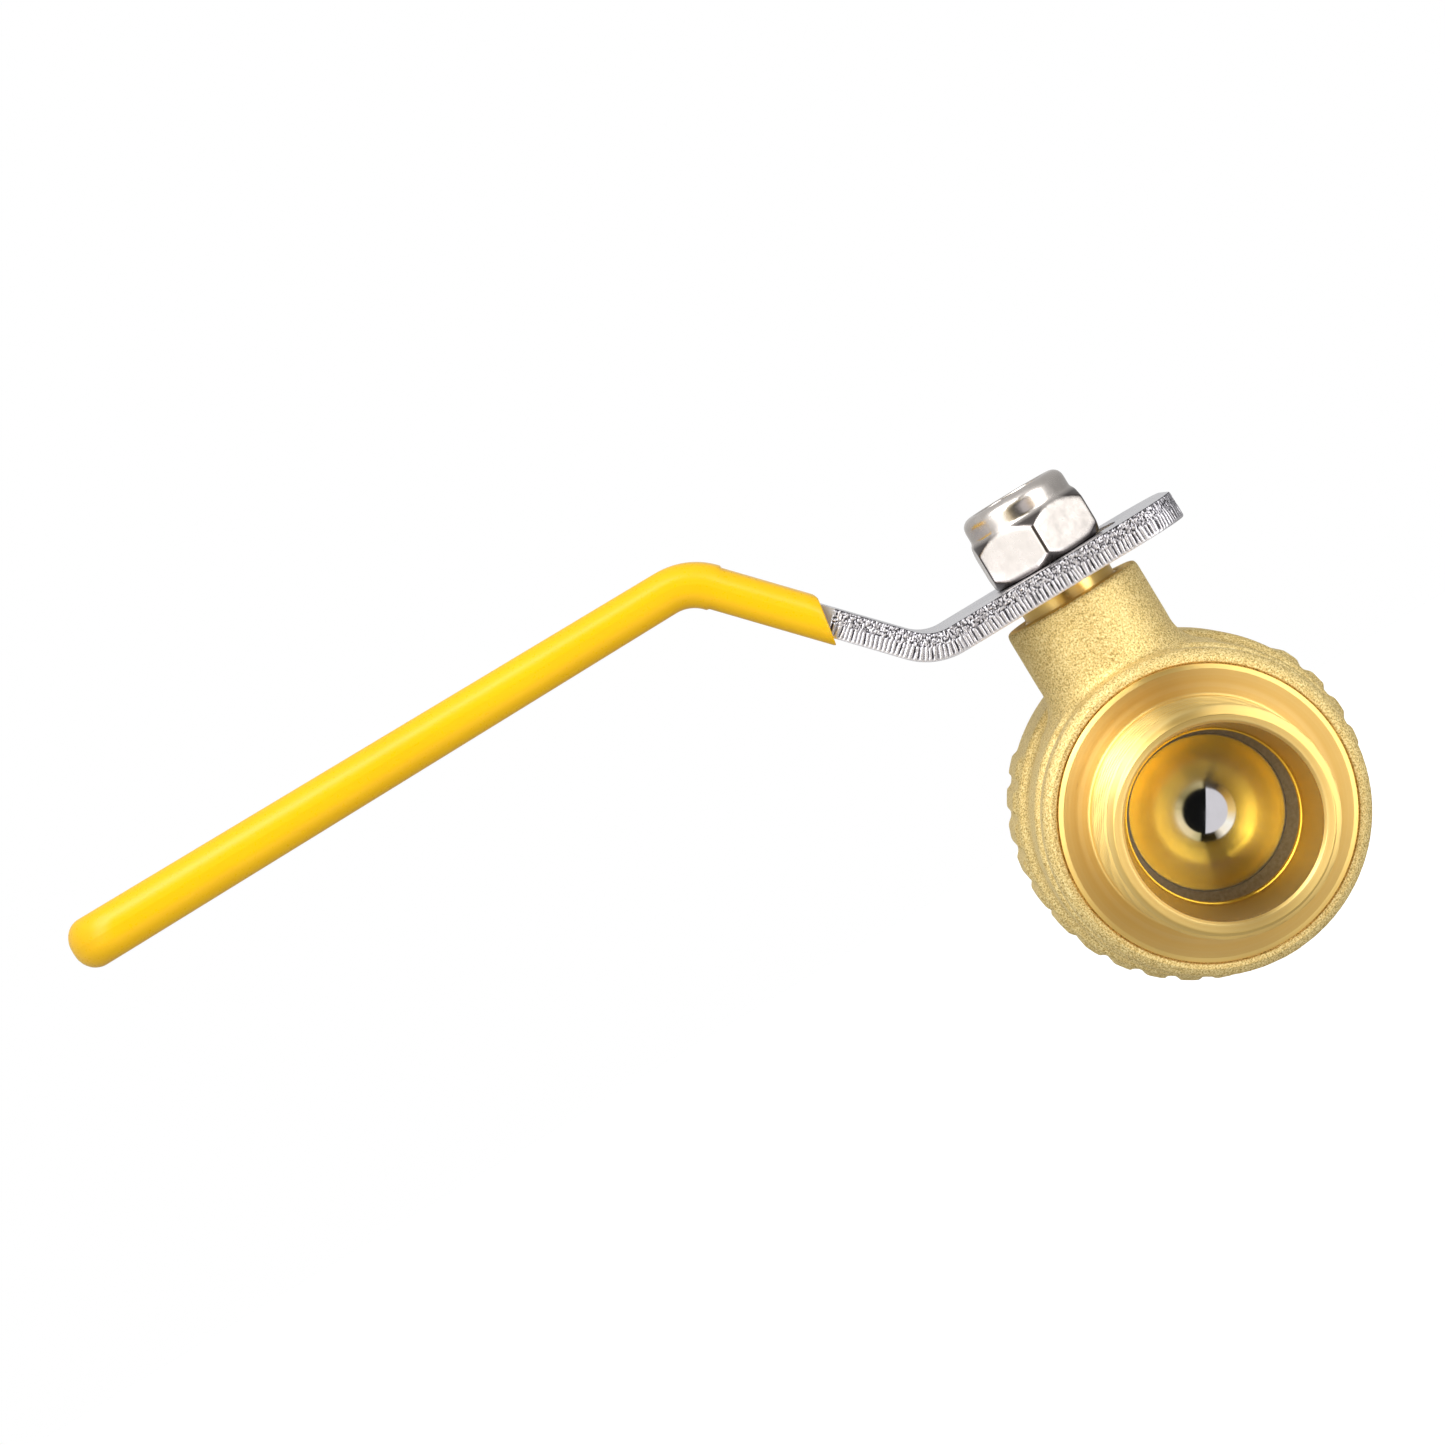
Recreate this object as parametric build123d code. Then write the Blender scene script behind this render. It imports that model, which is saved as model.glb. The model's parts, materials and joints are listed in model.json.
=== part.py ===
from build123d import *
import os
from math import asin, atan2, cos, degrees, radians, sin, sqrt, tan

# Two-piece DN20 brass gas ball valve, male inlet R 3/4, female outlet G 3/4, with a bent
# steel lever. Millimetres, +Z up along the stem. The bore runs along Y and the origin is
# the centre of the inlet shoulder, which the pipe fitting screws up to. The inlet faces
# -Y. The valve is shut as modelled: the lever points to -X and the ball's bore runs along X.

os.makedirs("parts", exist_ok=True)

# Fits between pieces
SCREWED_GAP = 0.03  # radial, between two pieces screwed together
RUNNING_GAP = 0.05  # radial, between a turning piece and the piece round it
CUT_PAST = 1.0  # how far a cut, or a joined solid, runs past the face it starts from

# Ball and its seats
STEM_Y = 12.0  # the stem axis and the ball's centre, behind the inlet shoulder
BALL_R = 13.5
BALL_BORE_R = 7.8
BALL_EDGE = 0.4  # rounding where the bore breaks the ball's surface
SLOT_WIDTH = 4.1  # drive slot across the top of the ball
SLOT_FLOOR_Z = 10.2
SEAT_CONTACT_R = 8.8  # radius of the sealing line on the ball
SEAT_OUTER_R = 11.0
SEAT_FRONT_R = 8.85
SEAT_LENGTH = 1.9
SEAT_RECESS = 3.5  # how far the seat's ball side stands past the shoulder plane

# End cap: the screwed-in male end
MALE_R = 13.2  # crest radius of the R 3/4 thread
MALE_LENGTH = 14.5
MALE_FACE_R = 11.9
MALE_CHAMFER = 1.4
MOUTH_R = 10.75
MOUTH_CHAMFER = 0.3
LIP_R = 9.5  # narrowest place of the passage
LIP_Y = -4.5
LIP_THICKNESS = 1.0
UNDERCUT_R = 10.5  # the wider stretch between the lip and the seat
UNDERCUT_SLOPE = 3.0  # length of the cone that leads to it from the lip
FLANGE_R = 16.65
FLANGE_EDGE = 0.35
FLANGE_THICKNESS = 1.0
CAP_THREAD_R = 16.1
CAP_END_Y = 5.6
CAP_SKIRT_WALL = 2.3  # wall of the screwed end round the ball

# Body shell
CHAMBER_R = 14.0
SEAL_THICKNESS = 0.8
BODY_FRONT_Y = 0.35
BODY_RECESS_R = 16.85
FRONT_RING_FACE_R = 17.4
FRONT_RING_R = 18.4
FRONT_RING_SLOPE = 1.0  # length of the cone in front of the ring
FRONT_RING_END_Y = 4.6
GROOVE_DEPTH = 0.5
GROOVE_WIDTH = 0.7
BARREL_R = 18.9
COLLAR_Y = 16.4  # front edge of the ribbed collar
COLLAR_R = 20.05
COLLAR_END_Y = 29.0
COLLAR_SLOPE = 1.0  # length of the cone at each end of the collar
OUTLET_Y = 45.0
OUTLET_R = 18.7
OUTLET_THREAD_R = 13.3
OUTLET_THREAD_LENGTH = 15.0
OUTLET_CHAMFER = 0.9

# Grip ribs on the collar
RIB_COUNT = 23
RIB_PITCH = 360 / 32
RIB_FIRST_ANGLE = 65.0  # from +Z towards +X
RIB_HEIGHT = 0.5
RIB_WIDTH = 2.6
RIB_EDGE = 0.3
RIB_END_GAP = 0.9

# Neck round the stem
NECK_R = 8.45
NECK_TOP_Z = 27.9
NECK_EDGE = 0.35
FLARE_R = 11.4
FLARE_TOP_Z = 20.6
FLARE_BOTTOM_Z = 15.6
FLARE_MIDDLE = (0.25, 0.36)  # a point on the flare's arc, as shares of its width and height
FLARE_FRONT_GAP = 0.6  # how far behind the body's front face the flare stops
LUG_WIDTH = 4.0
LUG_INNER_R = 6.6
LUG_TOP_Z = 32.0
LUG_EDGE = 0.3

# Stem, seals and packing
JOURNAL_R = 4.25
STEM_COLLAR_R = 5.2
STEM_COLLAR_Z = 14.2
STEM_COLLAR_HEIGHT = 1.8
STEM_WELL_R = 5.4
BLADE_THICKNESS = 3.9
BLADE_WIDTH = 7.6
BLADE_BOTTOM_Z = 10.4
BLADE_ROOT = 0.5  # how far the blade reaches up into the collar
WASHER_THICKNESS = 0.8
ORING_SECTION_R = 0.65
ORING_GROOVE_WIDTH = 1.6
ORING_Z = {"stem_oring_lower": 18.2, "stem_oring_upper": 20.3}
PACKING_FLOOR_Z = 21.7
PACKING_HEIGHT = 1.1
PACKING_VEE = 0.5
PACKING_NAMES = ["packing_ring_lower", "packing_ring_middle", "packing_ring_upper"]
BOX_R = 6.0  # bore that holds the packing and the gland
GLAND_HEAD_R = 5.75
GLAND_TOP_Z = 29.2
GLAND_EDGE = 0.15
GLAND_SLOT = 1.2
THREAD_R = 4.0  # M8 on the stem's top
FLATS = 6.0  # across the stem's two flats
STEM_TOP_Z = 40.3
STEM_TOP_CHAMFER = 0.8

# Lever: a bent strip
STRIP = 3.2
PLATE_Z = 29.35  # underside of the strip at the stem
TAIL_X = 15.3
RISE_START_X = -16.75
RISE_END_X = -36.15
GRIP_Z = 52.1  # middle of the strip along the grip
STRIP_END_X = -113.5
BEND_R = 6.5
HUB_WIDTH = 22.0
HUB_END_X = -13.0
STRAP_WIDTH = 15.6
STRAP_START_X = -30.0
TAIL_CORNER_R = 6.0
WINDOW_INNER_R = 6.2
WINDOW_OUTER_R = 8.75
WINDOW_GAP = 0.15  # between the lug and the window's end at each stop
TURN = 90.0  # from shut to open

# Sleeve on the grip
SLEEVE_WIDTH = 20.0
SLEEVE_CUT_X = -24.6  # upper end of the cut
SLEEVE_CUT_LEAN = 1.0  # how much farther along the lower end of the cut lies
SLEEVE_END_X = -117.5
SLEEVE_CUT_THICKNESS = 4.7
SLEEVE_BEND_THICKNESS = 5.1
SLEEVE_END_THICKNESS = 6.1
SLEEVE_EDGE = 2.1
SLEEVE_CORNER_R = 7.0

# Lock nut with a nylon ring
NUT_FLATS = 13.5
NUT_HEX_HEIGHT = 6.0
NUT_HEIGHT = 8.9
NUT_COLLAR_R = 6.45
NUT_COLLAR_EDGE = 1.3
NUT_FACE_EDGE = 0.15  # how far the end faces stay inside the flats
NUT_CHAMFER = 1.3
NUT_LIP_R = 4.6
INSERT_R = 5.2
INSERT_HEIGHT = 1.7
INSERT_TOP_GAP = 0.5


def turned_on_bore(outline):
    """A solid turned about the bore axis from (radius, y) corners."""
    return revolve(make_face(Polyline(*outline, close=True)), Axis.Y)


def turned_on_stem(outline):
    """A solid turned about the stem axis from (radius, z) corners."""
    section = make_face(Plane.XZ * Polyline(*outline, close=True))
    return Pos(0, STEM_Y, 0) * revolve(section, Axis.Z)


def upright(radius, low, high):
    """A plain cylinder on the stem axis between two heights."""
    return Pos(0, STEM_Y, low) * Cylinder(
        radius, high - low, align=(Align.CENTER, Align.CENTER, Align.MIN)
    )


def ball():
    """The ball, bored along X with broken edges, and the drive slot across its top."""
    rim_r = BALL_BORE_R + BALL_EDGE
    rim_x = sqrt(BALL_R**2 - rim_r**2)
    bore_x = rim_x - BALL_EDGE
    outline = [
        ThreePointArc((-rim_x, rim_r), (0, BALL_R), (rim_x, rim_r)),
        Polyline((rim_x, rim_r), (bore_x, BALL_BORE_R), (-bore_x, BALL_BORE_R), (-rim_x, rim_r)),
    ]
    sphere = revolve(make_face(outline), Axis.X)
    slot_height = 2 * (BALL_R - SLOT_FLOOR_Z)
    slot = Pos(0, 0, SLOT_FLOOR_Z + slot_height / 2) * Box(SLOT_WIDTH, 3 * BALL_R, slot_height)
    return Pos(0, STEM_Y, 0) * (sphere - slot)


def seat_ring():
    """The inlet seat: a ring with a cone inside and a face that fits the ball."""
    ball_side = SEAT_RECESS
    ring = turned_on_bore(
        [
            (SEAT_FRONT_R, ball_side - SEAT_LENGTH),
            (SEAT_OUTER_R, ball_side - SEAT_LENGTH),
            (SEAT_OUTER_R, ball_side),
            (SEAT_CONTACT_R, ball_side),
        ]
    )
    return ring - Pos(0, STEM_Y, 0) * Sphere(BALL_R + RUNNING_GAP / 2)


def mirrored_to_outlet(shape):
    """The same piece on the other side of the ball."""
    return mirror(shape, Plane.XZ.offset(-STEM_Y))


def end_cap():
    """The male end: thread, shoulder flange, body thread and the inlet seat's pocket."""
    pocket_r = SEAT_OUTER_R + SCREWED_GAP
    pocket_y = SEAT_RECESS - SEAT_LENGTH - SCREWED_GAP
    lip_back = LIP_Y + LIP_THICKNESS
    inside_r = CAP_THREAD_R - CAP_SKIRT_WALL
    return turned_on_bore(
        [
            (MOUTH_R + MOUTH_CHAMFER, -MALE_LENGTH),
            (MALE_FACE_R, -MALE_LENGTH),
            (MALE_R, -MALE_LENGTH + MALE_CHAMFER),
            (MALE_R, 0),
            (FLANGE_R - FLANGE_EDGE, 0),
            (FLANGE_R, FLANGE_EDGE),
            (FLANGE_R, FLANGE_THICKNESS),
            (CAP_THREAD_R, FLANGE_THICKNESS),
            (CAP_THREAD_R, CAP_END_Y),
            (inside_r, CAP_END_Y),
            (inside_r, SEAT_RECESS),
            (pocket_r, SEAT_RECESS),
            (pocket_r, pocket_y),
            (UNDERCUT_R, pocket_y),
            (UNDERCUT_R, lip_back + UNDERCUT_SLOPE),
            (LIP_R, lip_back),
            (LIP_R, LIP_Y),
            (MOUTH_R, -MALE_LENGTH + MOUTH_CHAMFER),
        ]
    )


def cap_seal():
    """The flat ring squeezed between the end cap and the body's ledge."""
    return turned_on_bore(
        [
            (CHAMBER_R, CAP_END_Y),
            (CAP_THREAD_R, CAP_END_Y),
            (CAP_THREAD_R, CAP_END_Y + SEAL_THICKNESS),
            (CHAMBER_R, CAP_END_Y + SEAL_THICKNESS),
        ]
    )


def grip_ribs():
    """Ribs along the collar, down both sides and under it."""
    length = COLLAR_END_Y - COLLAR_Y - 2 * RIB_END_GAP
    height = 2 * RIB_HEIGHT
    ribs = []
    for i in range(RIB_COUNT):
        rib = Box(RIB_WIDTH, length, height)
        rib = fillet(rib.faces().sort_by(Axis.Z)[-1].edges(), RIB_EDGE)
        place = Pos(0, (COLLAR_Y + COLLAR_END_Y) / 2, COLLAR_R)
        ribs.append(Rot(0, RIB_FIRST_ANGLE + i * RIB_PITCH, 0) * place * rib)
    return ribs


def flared_neck():
    """The neck, with a hollow flare that runs into the body."""
    share_out, share_up = FLARE_MIDDLE
    flare_middle = (
        NECK_R + (FLARE_R - NECK_R) * share_out,
        FLARE_BOTTOM_Z + (FLARE_TOP_Z - FLARE_BOTTOM_Z) * share_up,
    )
    section = Plane.XZ * make_face(
        [
            Line((0, 0), (0, NECK_TOP_Z)),
            Line((0, NECK_TOP_Z), (NECK_R - NECK_EDGE, NECK_TOP_Z)),
            Line((NECK_R - NECK_EDGE, NECK_TOP_Z), (NECK_R, NECK_TOP_Z - NECK_EDGE)),
            Line((NECK_R, NECK_TOP_Z - NECK_EDGE), (NECK_R, FLARE_TOP_Z)),
            ThreePointArc((NECK_R, FLARE_TOP_Z), flare_middle, (FLARE_R, FLARE_BOTTOM_Z)),
            Line((FLARE_R, FLARE_BOTTOM_Z), (FLARE_R, 0)),
            Line((FLARE_R, 0), (0, 0)),
        ]
    )
    neck = Pos(0, STEM_Y, 0) * revolve(section, Axis.Z)
    size = 2 * (NECK_TOP_Z + CUT_PAST)
    keep = Box(size, size, size, align=(Align.CENTER, Align.MIN, Align.CENTER))
    return neck & (Pos(0, BODY_FRONT_Y + FLARE_FRONT_GAP, 0) * keep)


def valve_body():
    """The forged shell with the neck, the collar and the female end."""
    shell = turned_on_bore(
        [
            (0, BODY_FRONT_Y),
            (FRONT_RING_FACE_R, BODY_FRONT_Y),
            (FRONT_RING_R, BODY_FRONT_Y + FRONT_RING_SLOPE),
            (FRONT_RING_R, FRONT_RING_END_Y),
            (FRONT_RING_R - GROOVE_DEPTH, FRONT_RING_END_Y + GROOVE_DEPTH),
            (FRONT_RING_R - GROOVE_DEPTH, FRONT_RING_END_Y + GROOVE_DEPTH + GROOVE_WIDTH),
            (BARREL_R, FRONT_RING_END_Y + 2 * GROOVE_DEPTH + GROOVE_WIDTH),
            (BARREL_R, COLLAR_Y - COLLAR_SLOPE),
            (COLLAR_R, COLLAR_Y),
            (COLLAR_R, COLLAR_END_Y),
            (OUTLET_R, COLLAR_END_Y + COLLAR_SLOPE),
            (OUTLET_R, OUTLET_Y - OUTLET_CHAMFER),
            (OUTLET_R - OUTLET_CHAMFER, OUTLET_Y),
            (0, OUTLET_Y),
        ]
    )
    shell = shell + flared_neck()
    shell = shell + grip_ribs()
    seat_side = 2 * STEM_Y - SEAT_RECESS
    seat_back = seat_side + SEAT_LENGTH + SCREWED_GAP
    pocket_r = SEAT_OUTER_R + SCREWED_GAP
    ledge_y = CAP_END_Y + SEAL_THICKNESS
    thread_y = OUTLET_Y - OUTLET_THREAD_LENGTH
    passage = turned_on_bore(
        [
            (0, -CUT_PAST),
            (BODY_RECESS_R, -CUT_PAST),
            (BODY_RECESS_R, FLANGE_THICKNESS),
            (CAP_THREAD_R + SCREWED_GAP, FLANGE_THICKNESS),
            (CAP_THREAD_R + SCREWED_GAP, ledge_y),
            (CHAMBER_R, ledge_y),
            (CHAMBER_R, seat_side),
            (pocket_r, seat_side),
            (pocket_r, seat_back),
            (LIP_R, seat_back),
            (LIP_R, thread_y),
            (OUTLET_THREAD_R, thread_y),
            (OUTLET_THREAD_R, OUTLET_Y - OUTLET_CHAMFER),
            (OUTLET_THREAD_R + OUTLET_CHAMFER, OUTLET_Y),
            (0, OUTLET_Y),
        ]
    )
    washer_top = STEM_COLLAR_Z + STEM_COLLAR_HEIGHT + WASHER_THICKNESS
    stem_way = turned_on_stem(
        [
            (0, 0),
            (STEM_WELL_R, 0),
            (STEM_WELL_R, washer_top),
            (JOURNAL_R + RUNNING_GAP, washer_top),
            (JOURNAL_R + RUNNING_GAP, PACKING_FLOOR_Z),
            (BOX_R, PACKING_FLOOR_Z),
            (BOX_R, NECK_TOP_Z + CUT_PAST),
            (0, NECK_TOP_Z + CUT_PAST),
        ]
    )
    return shell - passage - stem_way + stop_lug()


def stop_lug():
    """The upright lug behind the neck's top that the lever's window runs against."""
    lug_outer_r = NECK_R - NECK_EDGE
    depth = lug_outer_r - LUG_INNER_R
    height = LUG_TOP_Z - NECK_TOP_Z
    block = Box(LUG_WIDTH, depth, height + CUT_PAST)
    block = fillet(block.faces().sort_by(Axis.Z)[-1].edges(), LUG_EDGE)
    middle_z = NECK_TOP_Z + (height - CUT_PAST) / 2
    return Pos(0, STEM_Y + LUG_INNER_R + depth / 2, middle_z) * block


def stem():
    """The stem: blade, collar, journal with two seal grooves, and the flatted M8 top."""
    collar_top = STEM_COLLAR_Z + STEM_COLLAR_HEIGHT
    floor_r = JOURNAL_R - 2 * ORING_SECTION_R
    outline = [
        (0, STEM_COLLAR_Z),
        (STEM_COLLAR_R, STEM_COLLAR_Z),
        (STEM_COLLAR_R, collar_top),
        (JOURNAL_R, collar_top),
    ]
    for height in ORING_Z.values():
        low = height - ORING_GROOVE_WIDTH / 2
        high = height + ORING_GROOVE_WIDTH / 2
        outline += [(JOURNAL_R, low), (floor_r, low), (floor_r, high), (JOURNAL_R, high)]
    outline += [
        (JOURNAL_R, PLATE_Z),
        (THREAD_R, PLATE_Z),
        (THREAD_R, STEM_TOP_Z - STEM_TOP_CHAMFER),
        (THREAD_R - STEM_TOP_CHAMFER, STEM_TOP_Z),
        (0, STEM_TOP_Z),
    ]
    shaft = turned_on_stem(outline)
    for side in (-1, 1):
        height = STEM_TOP_Z - PLATE_Z + CUT_PAST
        slab = Box(
            4 * THREAD_R, 4 * THREAD_R, height, align=(Align.CENTER, Align.MIN, Align.MIN)
        )
        cutter = Pos(0, FLATS / 2, PLATE_Z) * slab
        if side < 0:
            cutter = Rot(0, 0, 180) * cutter
        shaft = shaft - Pos(0, STEM_Y, 0) * cutter
    blade_height = STEM_COLLAR_Z - BLADE_BOTTOM_Z + BLADE_ROOT
    blade = Box(
        BLADE_THICKNESS, BLADE_WIDTH, blade_height, align=(Align.CENTER, Align.CENTER, Align.MIN)
    )
    return shaft + Pos(0, STEM_Y, BLADE_BOTTOM_Z) * blade


def thrust_washer():
    """The flat ring between the stem's collar and the neck, which carries the thrust."""
    low = STEM_COLLAR_Z + STEM_COLLAR_HEIGHT
    outer = STEM_WELL_R - RUNNING_GAP
    ring = upright(outer, low, low + WASHER_THICKNESS)
    return ring - upright(JOURNAL_R + RUNNING_GAP, low, low + WASHER_THICKNESS)


def stem_oring(height):
    """A round rubber ring in one of the stem's grooves."""
    ring_r = JOURNAL_R - ORING_SECTION_R
    return Pos(0, STEM_Y, height) * Torus(ring_r, ORING_SECTION_R)


def packing_ring(index):
    """One chevron packing ring; the three nest on each other."""
    low = PACKING_FLOOR_Z + index * PACKING_HEIGHT
    inner = JOURNAL_R + RUNNING_GAP
    outer = BOX_R - SCREWED_GAP
    middle = (inner + outer) / 2
    floor = low if index == 0 else low + PACKING_VEE
    return turned_on_stem(
        [
            (inner, low),
            (middle, floor),
            (outer, low),
            (outer, low + PACKING_HEIGHT),
            (middle, low + PACKING_HEIGHT + PACKING_VEE),
            (inner, low + PACKING_HEIGHT),
        ]
    )


def gland():
    """The threaded gland that presses the packing down, with two spanner slots."""
    low = PACKING_FLOOR_Z + len(PACKING_NAMES) * PACKING_HEIGHT
    inner = JOURNAL_R + RUNNING_GAP
    thread_r = BOX_R - SCREWED_GAP
    middle = (inner + thread_r) / 2
    body = turned_on_stem(
        [
            (inner, low),
            (middle, low + PACKING_VEE),
            (thread_r, low),
            (thread_r, NECK_TOP_Z - GLAND_EDGE),
            (GLAND_HEAD_R, NECK_TOP_Z),
            (GLAND_HEAD_R, GLAND_TOP_Z - GLAND_EDGE),
            (GLAND_HEAD_R - GLAND_EDGE, GLAND_TOP_Z),
            (inner, GLAND_TOP_Z),
        ]
    )
    slot = Box(3 * BOX_R, GLAND_SLOT, 2 * GLAND_SLOT)
    return body - Pos(0, STEM_Y, GLAND_TOP_Z) * slot


def lever_line(end_x):
    """The strip's middle line from the tail to the end of the grip."""
    middle = PLATE_Z + STRIP / 2
    return FilletPolyline(
        (TAIL_X, middle),
        (RISE_START_X, middle),
        (RISE_END_X, GRIP_Z),
        (end_x, GRIP_Z),
        radius=BEND_R,
    )


def half_outline(points):
    """A closed outline in plan from the corners of its +Y half."""
    mirrored = [(x, -y) for x, y in reversed(points)]
    return make_face(Polyline(*points, *mirrored, close=True))


def lever():
    """The bent strip with the stem's hole and the window for the stop lug."""
    side = extrude(Plane.XZ * trace(lever_line(STRIP_END_X), STRIP), HUB_WIDTH, both=True)
    plan = half_outline(
        [
            (TAIL_X, HUB_WIDTH / 2),
            (HUB_END_X, HUB_WIDTH / 2),
            (STRAP_START_X, STRAP_WIDTH / 2),
            (STRIP_END_X, STRAP_WIDTH / 2),
        ]
    )
    blank = extrude(plan, GRIP_Z + STRIP)
    tail_edges = blank.edges().filter_by(Axis.Z).sort_by(Axis.X)[-2:]
    blank = fillet(tail_edges, TAIL_CORNER_R)
    end_edges = blank.edges().filter_by(Axis.Z).sort_by(Axis.X)[:2]
    blank = fillet(end_edges, TAIL_CORNER_R)
    strip = side & blank
    flats = Box(4 * THREAD_R, FLATS + 2 * RUNNING_GAP, 3 * STRIP)
    hole = Cylinder(THREAD_R + RUNNING_GAP, 3 * STRIP) & flats
    strip = strip - Pos(0, 0, PLATE_Z + STRIP / 2) * hole
    strip = strip - Pos(0, 0, PLATE_Z - STRIP) * lug_window(3 * STRIP)
    return Pos(0, STEM_Y, 0) * strip


def lug_window(height):
    """The curved window, long enough for a quarter turn between its two stops."""
    reach = degrees(asin((LUG_WIDTH / 2 + WINDOW_GAP) / WINDOW_INNER_R))
    start = radians(-reach)
    end = radians(TURN + reach)
    middle = (start + end) / 2
    inner = [(WINDOW_INNER_R * cos(a), WINDOW_INNER_R * sin(a)) for a in (start, middle, end)]
    outer = [(WINDOW_OUTER_R * cos(a), WINDOW_OUTER_R * sin(a)) for a in (start, middle, end)]
    outline = [
        ThreePointArc(*inner),
        Line(inner[2], outer[2]),
        ThreePointArc(*reversed(outer)),
        Line(outer[0], inner[0]),
    ]
    return extrude(make_face(outline), height)


def sleeve_edge(side, cut_x):
    """The sleeve's upper (side 1) or lower (side -1) line, from the cut to the free end."""
    cut_half = side * SLEEVE_CUT_THICKNESS / 2
    bend_half = side * SLEEVE_BEND_THICKNESS / 2
    end_half = side * SLEEVE_END_THICKNESS / 2
    rise = atan2(GRIP_Z - PLATE_Z - STRIP / 2, RISE_START_X - RISE_END_X)
    cut_z = GRIP_Z + (cut_half - (cut_x - RISE_END_X) * sin(rise)) / cos(rise)
    return FilletPolyline(
        (cut_x, cut_z),
        (RISE_END_X + bend_half * tan(rise / 2), GRIP_Z + bend_half),
        (SLEEVE_END_X, GRIP_Z + end_half),
        radius=BEND_R + bend_half,
    )


def sleeve(strip):
    """The plastic sleeve on the strip, thicker to its free end, with a leaning cut."""
    upper = sleeve_edge(1, SLEEVE_CUT_X)
    lower = sleeve_edge(-1, SLEEVE_CUT_X - SLEEVE_CUT_LEAN)
    outline = [upper, Line(upper @ 1, lower @ 1), lower, Line(lower @ 0, upper @ 0)]
    side = Plane.XZ * make_face(outline)
    blank = extrude(side, SLEEVE_WIDTH / 2, both=True)
    end_edges = blank.edges().filter_by(Axis.Z).group_by(Axis.X)[0]
    blank = fillet(end_edges, SLEEVE_CORNER_R)
    cut_limit = SLEEVE_CUT_X - SLEEVE_CUT_LEAN - SCREWED_GAP
    long_edges = [e for e in blank.edges() if e.center().X < cut_limit]
    upright_edges = blank.edges().filter_by(Axis.Z)
    blank = fillet([e for e in long_edges if e not in upright_edges], SLEEVE_EDGE)
    return Pos(0, STEM_Y, 0) * blank - strip


def lock_nut():
    """The hexagon nut with a round collar that holds the nylon ring."""
    bottom = PLATE_Z + STRIP
    hexagon = RegularPolygon(NUT_FLATS / 2, 6, major_radius=False, rotation=30)
    prism = Pos(0, STEM_Y, bottom) * extrude(hexagon, NUT_HEX_HEIGHT)
    corner_r = NUT_FLATS / sqrt(3)
    end_r = NUT_FLATS / 2 - NUT_FACE_EDGE
    hex_top = bottom + NUT_HEX_HEIGHT
    turned_ends = turned_on_stem(
        [
            (0, bottom),
            (end_r, bottom),
            (corner_r, bottom + NUT_CHAMFER),
            (corner_r, hex_top - NUT_CHAMFER),
            (end_r, hex_top),
            (0, hex_top),
        ]
    )
    top = bottom + NUT_HEIGHT
    collar = upright(NUT_COLLAR_R, hex_top - CUT_PAST, top)
    collar = fillet(collar.edges().sort_by(Axis.Z)[-1], NUT_COLLAR_EDGE)
    insert_top = top - INSERT_TOP_GAP
    bore = turned_on_stem(
        [
            (0, bottom - CUT_PAST),
            (THREAD_R + SCREWED_GAP, bottom - CUT_PAST),
            (THREAD_R + SCREWED_GAP, insert_top - INSERT_HEIGHT),
            (INSERT_R, insert_top - INSERT_HEIGHT),
            (INSERT_R, insert_top),
            (NUT_LIP_R, insert_top),
            (NUT_LIP_R, top + CUT_PAST),
            (0, top + CUT_PAST),
        ]
    )
    return (prism & turned_ends) + collar - bore


def nut_insert():
    """The nylon ring rolled into the nut's collar."""
    high = PLATE_Z + STRIP + NUT_HEIGHT - INSERT_TOP_GAP
    low = high - INSERT_HEIGHT
    return upright(INSERT_R, low, high) - upright(THREAD_R + SCREWED_GAP, low, high)


inlet_seat = seat_ring()
strip = lever()
parts = {
    "valve_body": valve_body(),
    "end_cap": end_cap(),
    "cap_seal": cap_seal(),
    "ball": ball(),
    "inlet_seat": inlet_seat,
    "outlet_seat": mirrored_to_outlet(inlet_seat),
    "stem": stem(),
    "thrust_washer": thrust_washer(),
    "gland": gland(),
    "lever": strip,
    "lever_sleeve": sleeve(strip),
    "lock_nut": lock_nut(),
    "nut_insert": nut_insert(),
}
for name, height in ORING_Z.items():
    parts[name] = stem_oring(height)
for index, name in enumerate(PACKING_NAMES):
    parts[name] = packing_ring(index)

for name, shape in parts.items():
    export_step(shape, f"parts/{name}.step")
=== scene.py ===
import json
import math

import bmesh
import bpy
from mathutils import Matrix, Vector, noise


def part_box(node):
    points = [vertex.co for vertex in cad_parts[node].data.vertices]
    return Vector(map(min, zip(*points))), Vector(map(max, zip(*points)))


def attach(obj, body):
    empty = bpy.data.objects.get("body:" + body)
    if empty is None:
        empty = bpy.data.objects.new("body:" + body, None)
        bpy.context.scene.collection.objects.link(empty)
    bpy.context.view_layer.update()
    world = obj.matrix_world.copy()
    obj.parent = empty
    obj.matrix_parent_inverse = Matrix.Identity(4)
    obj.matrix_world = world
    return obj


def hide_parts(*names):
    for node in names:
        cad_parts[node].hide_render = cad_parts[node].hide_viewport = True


# A brass gas ball valve seen into its male end, with a bent lever in a yellow sleeve.
# Metres, in the frame of the CAD model: +Y along the bore, +Z up the stem, the shut lever
# points to -X, and the origin is the centre of the inlet shoulder.

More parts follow.
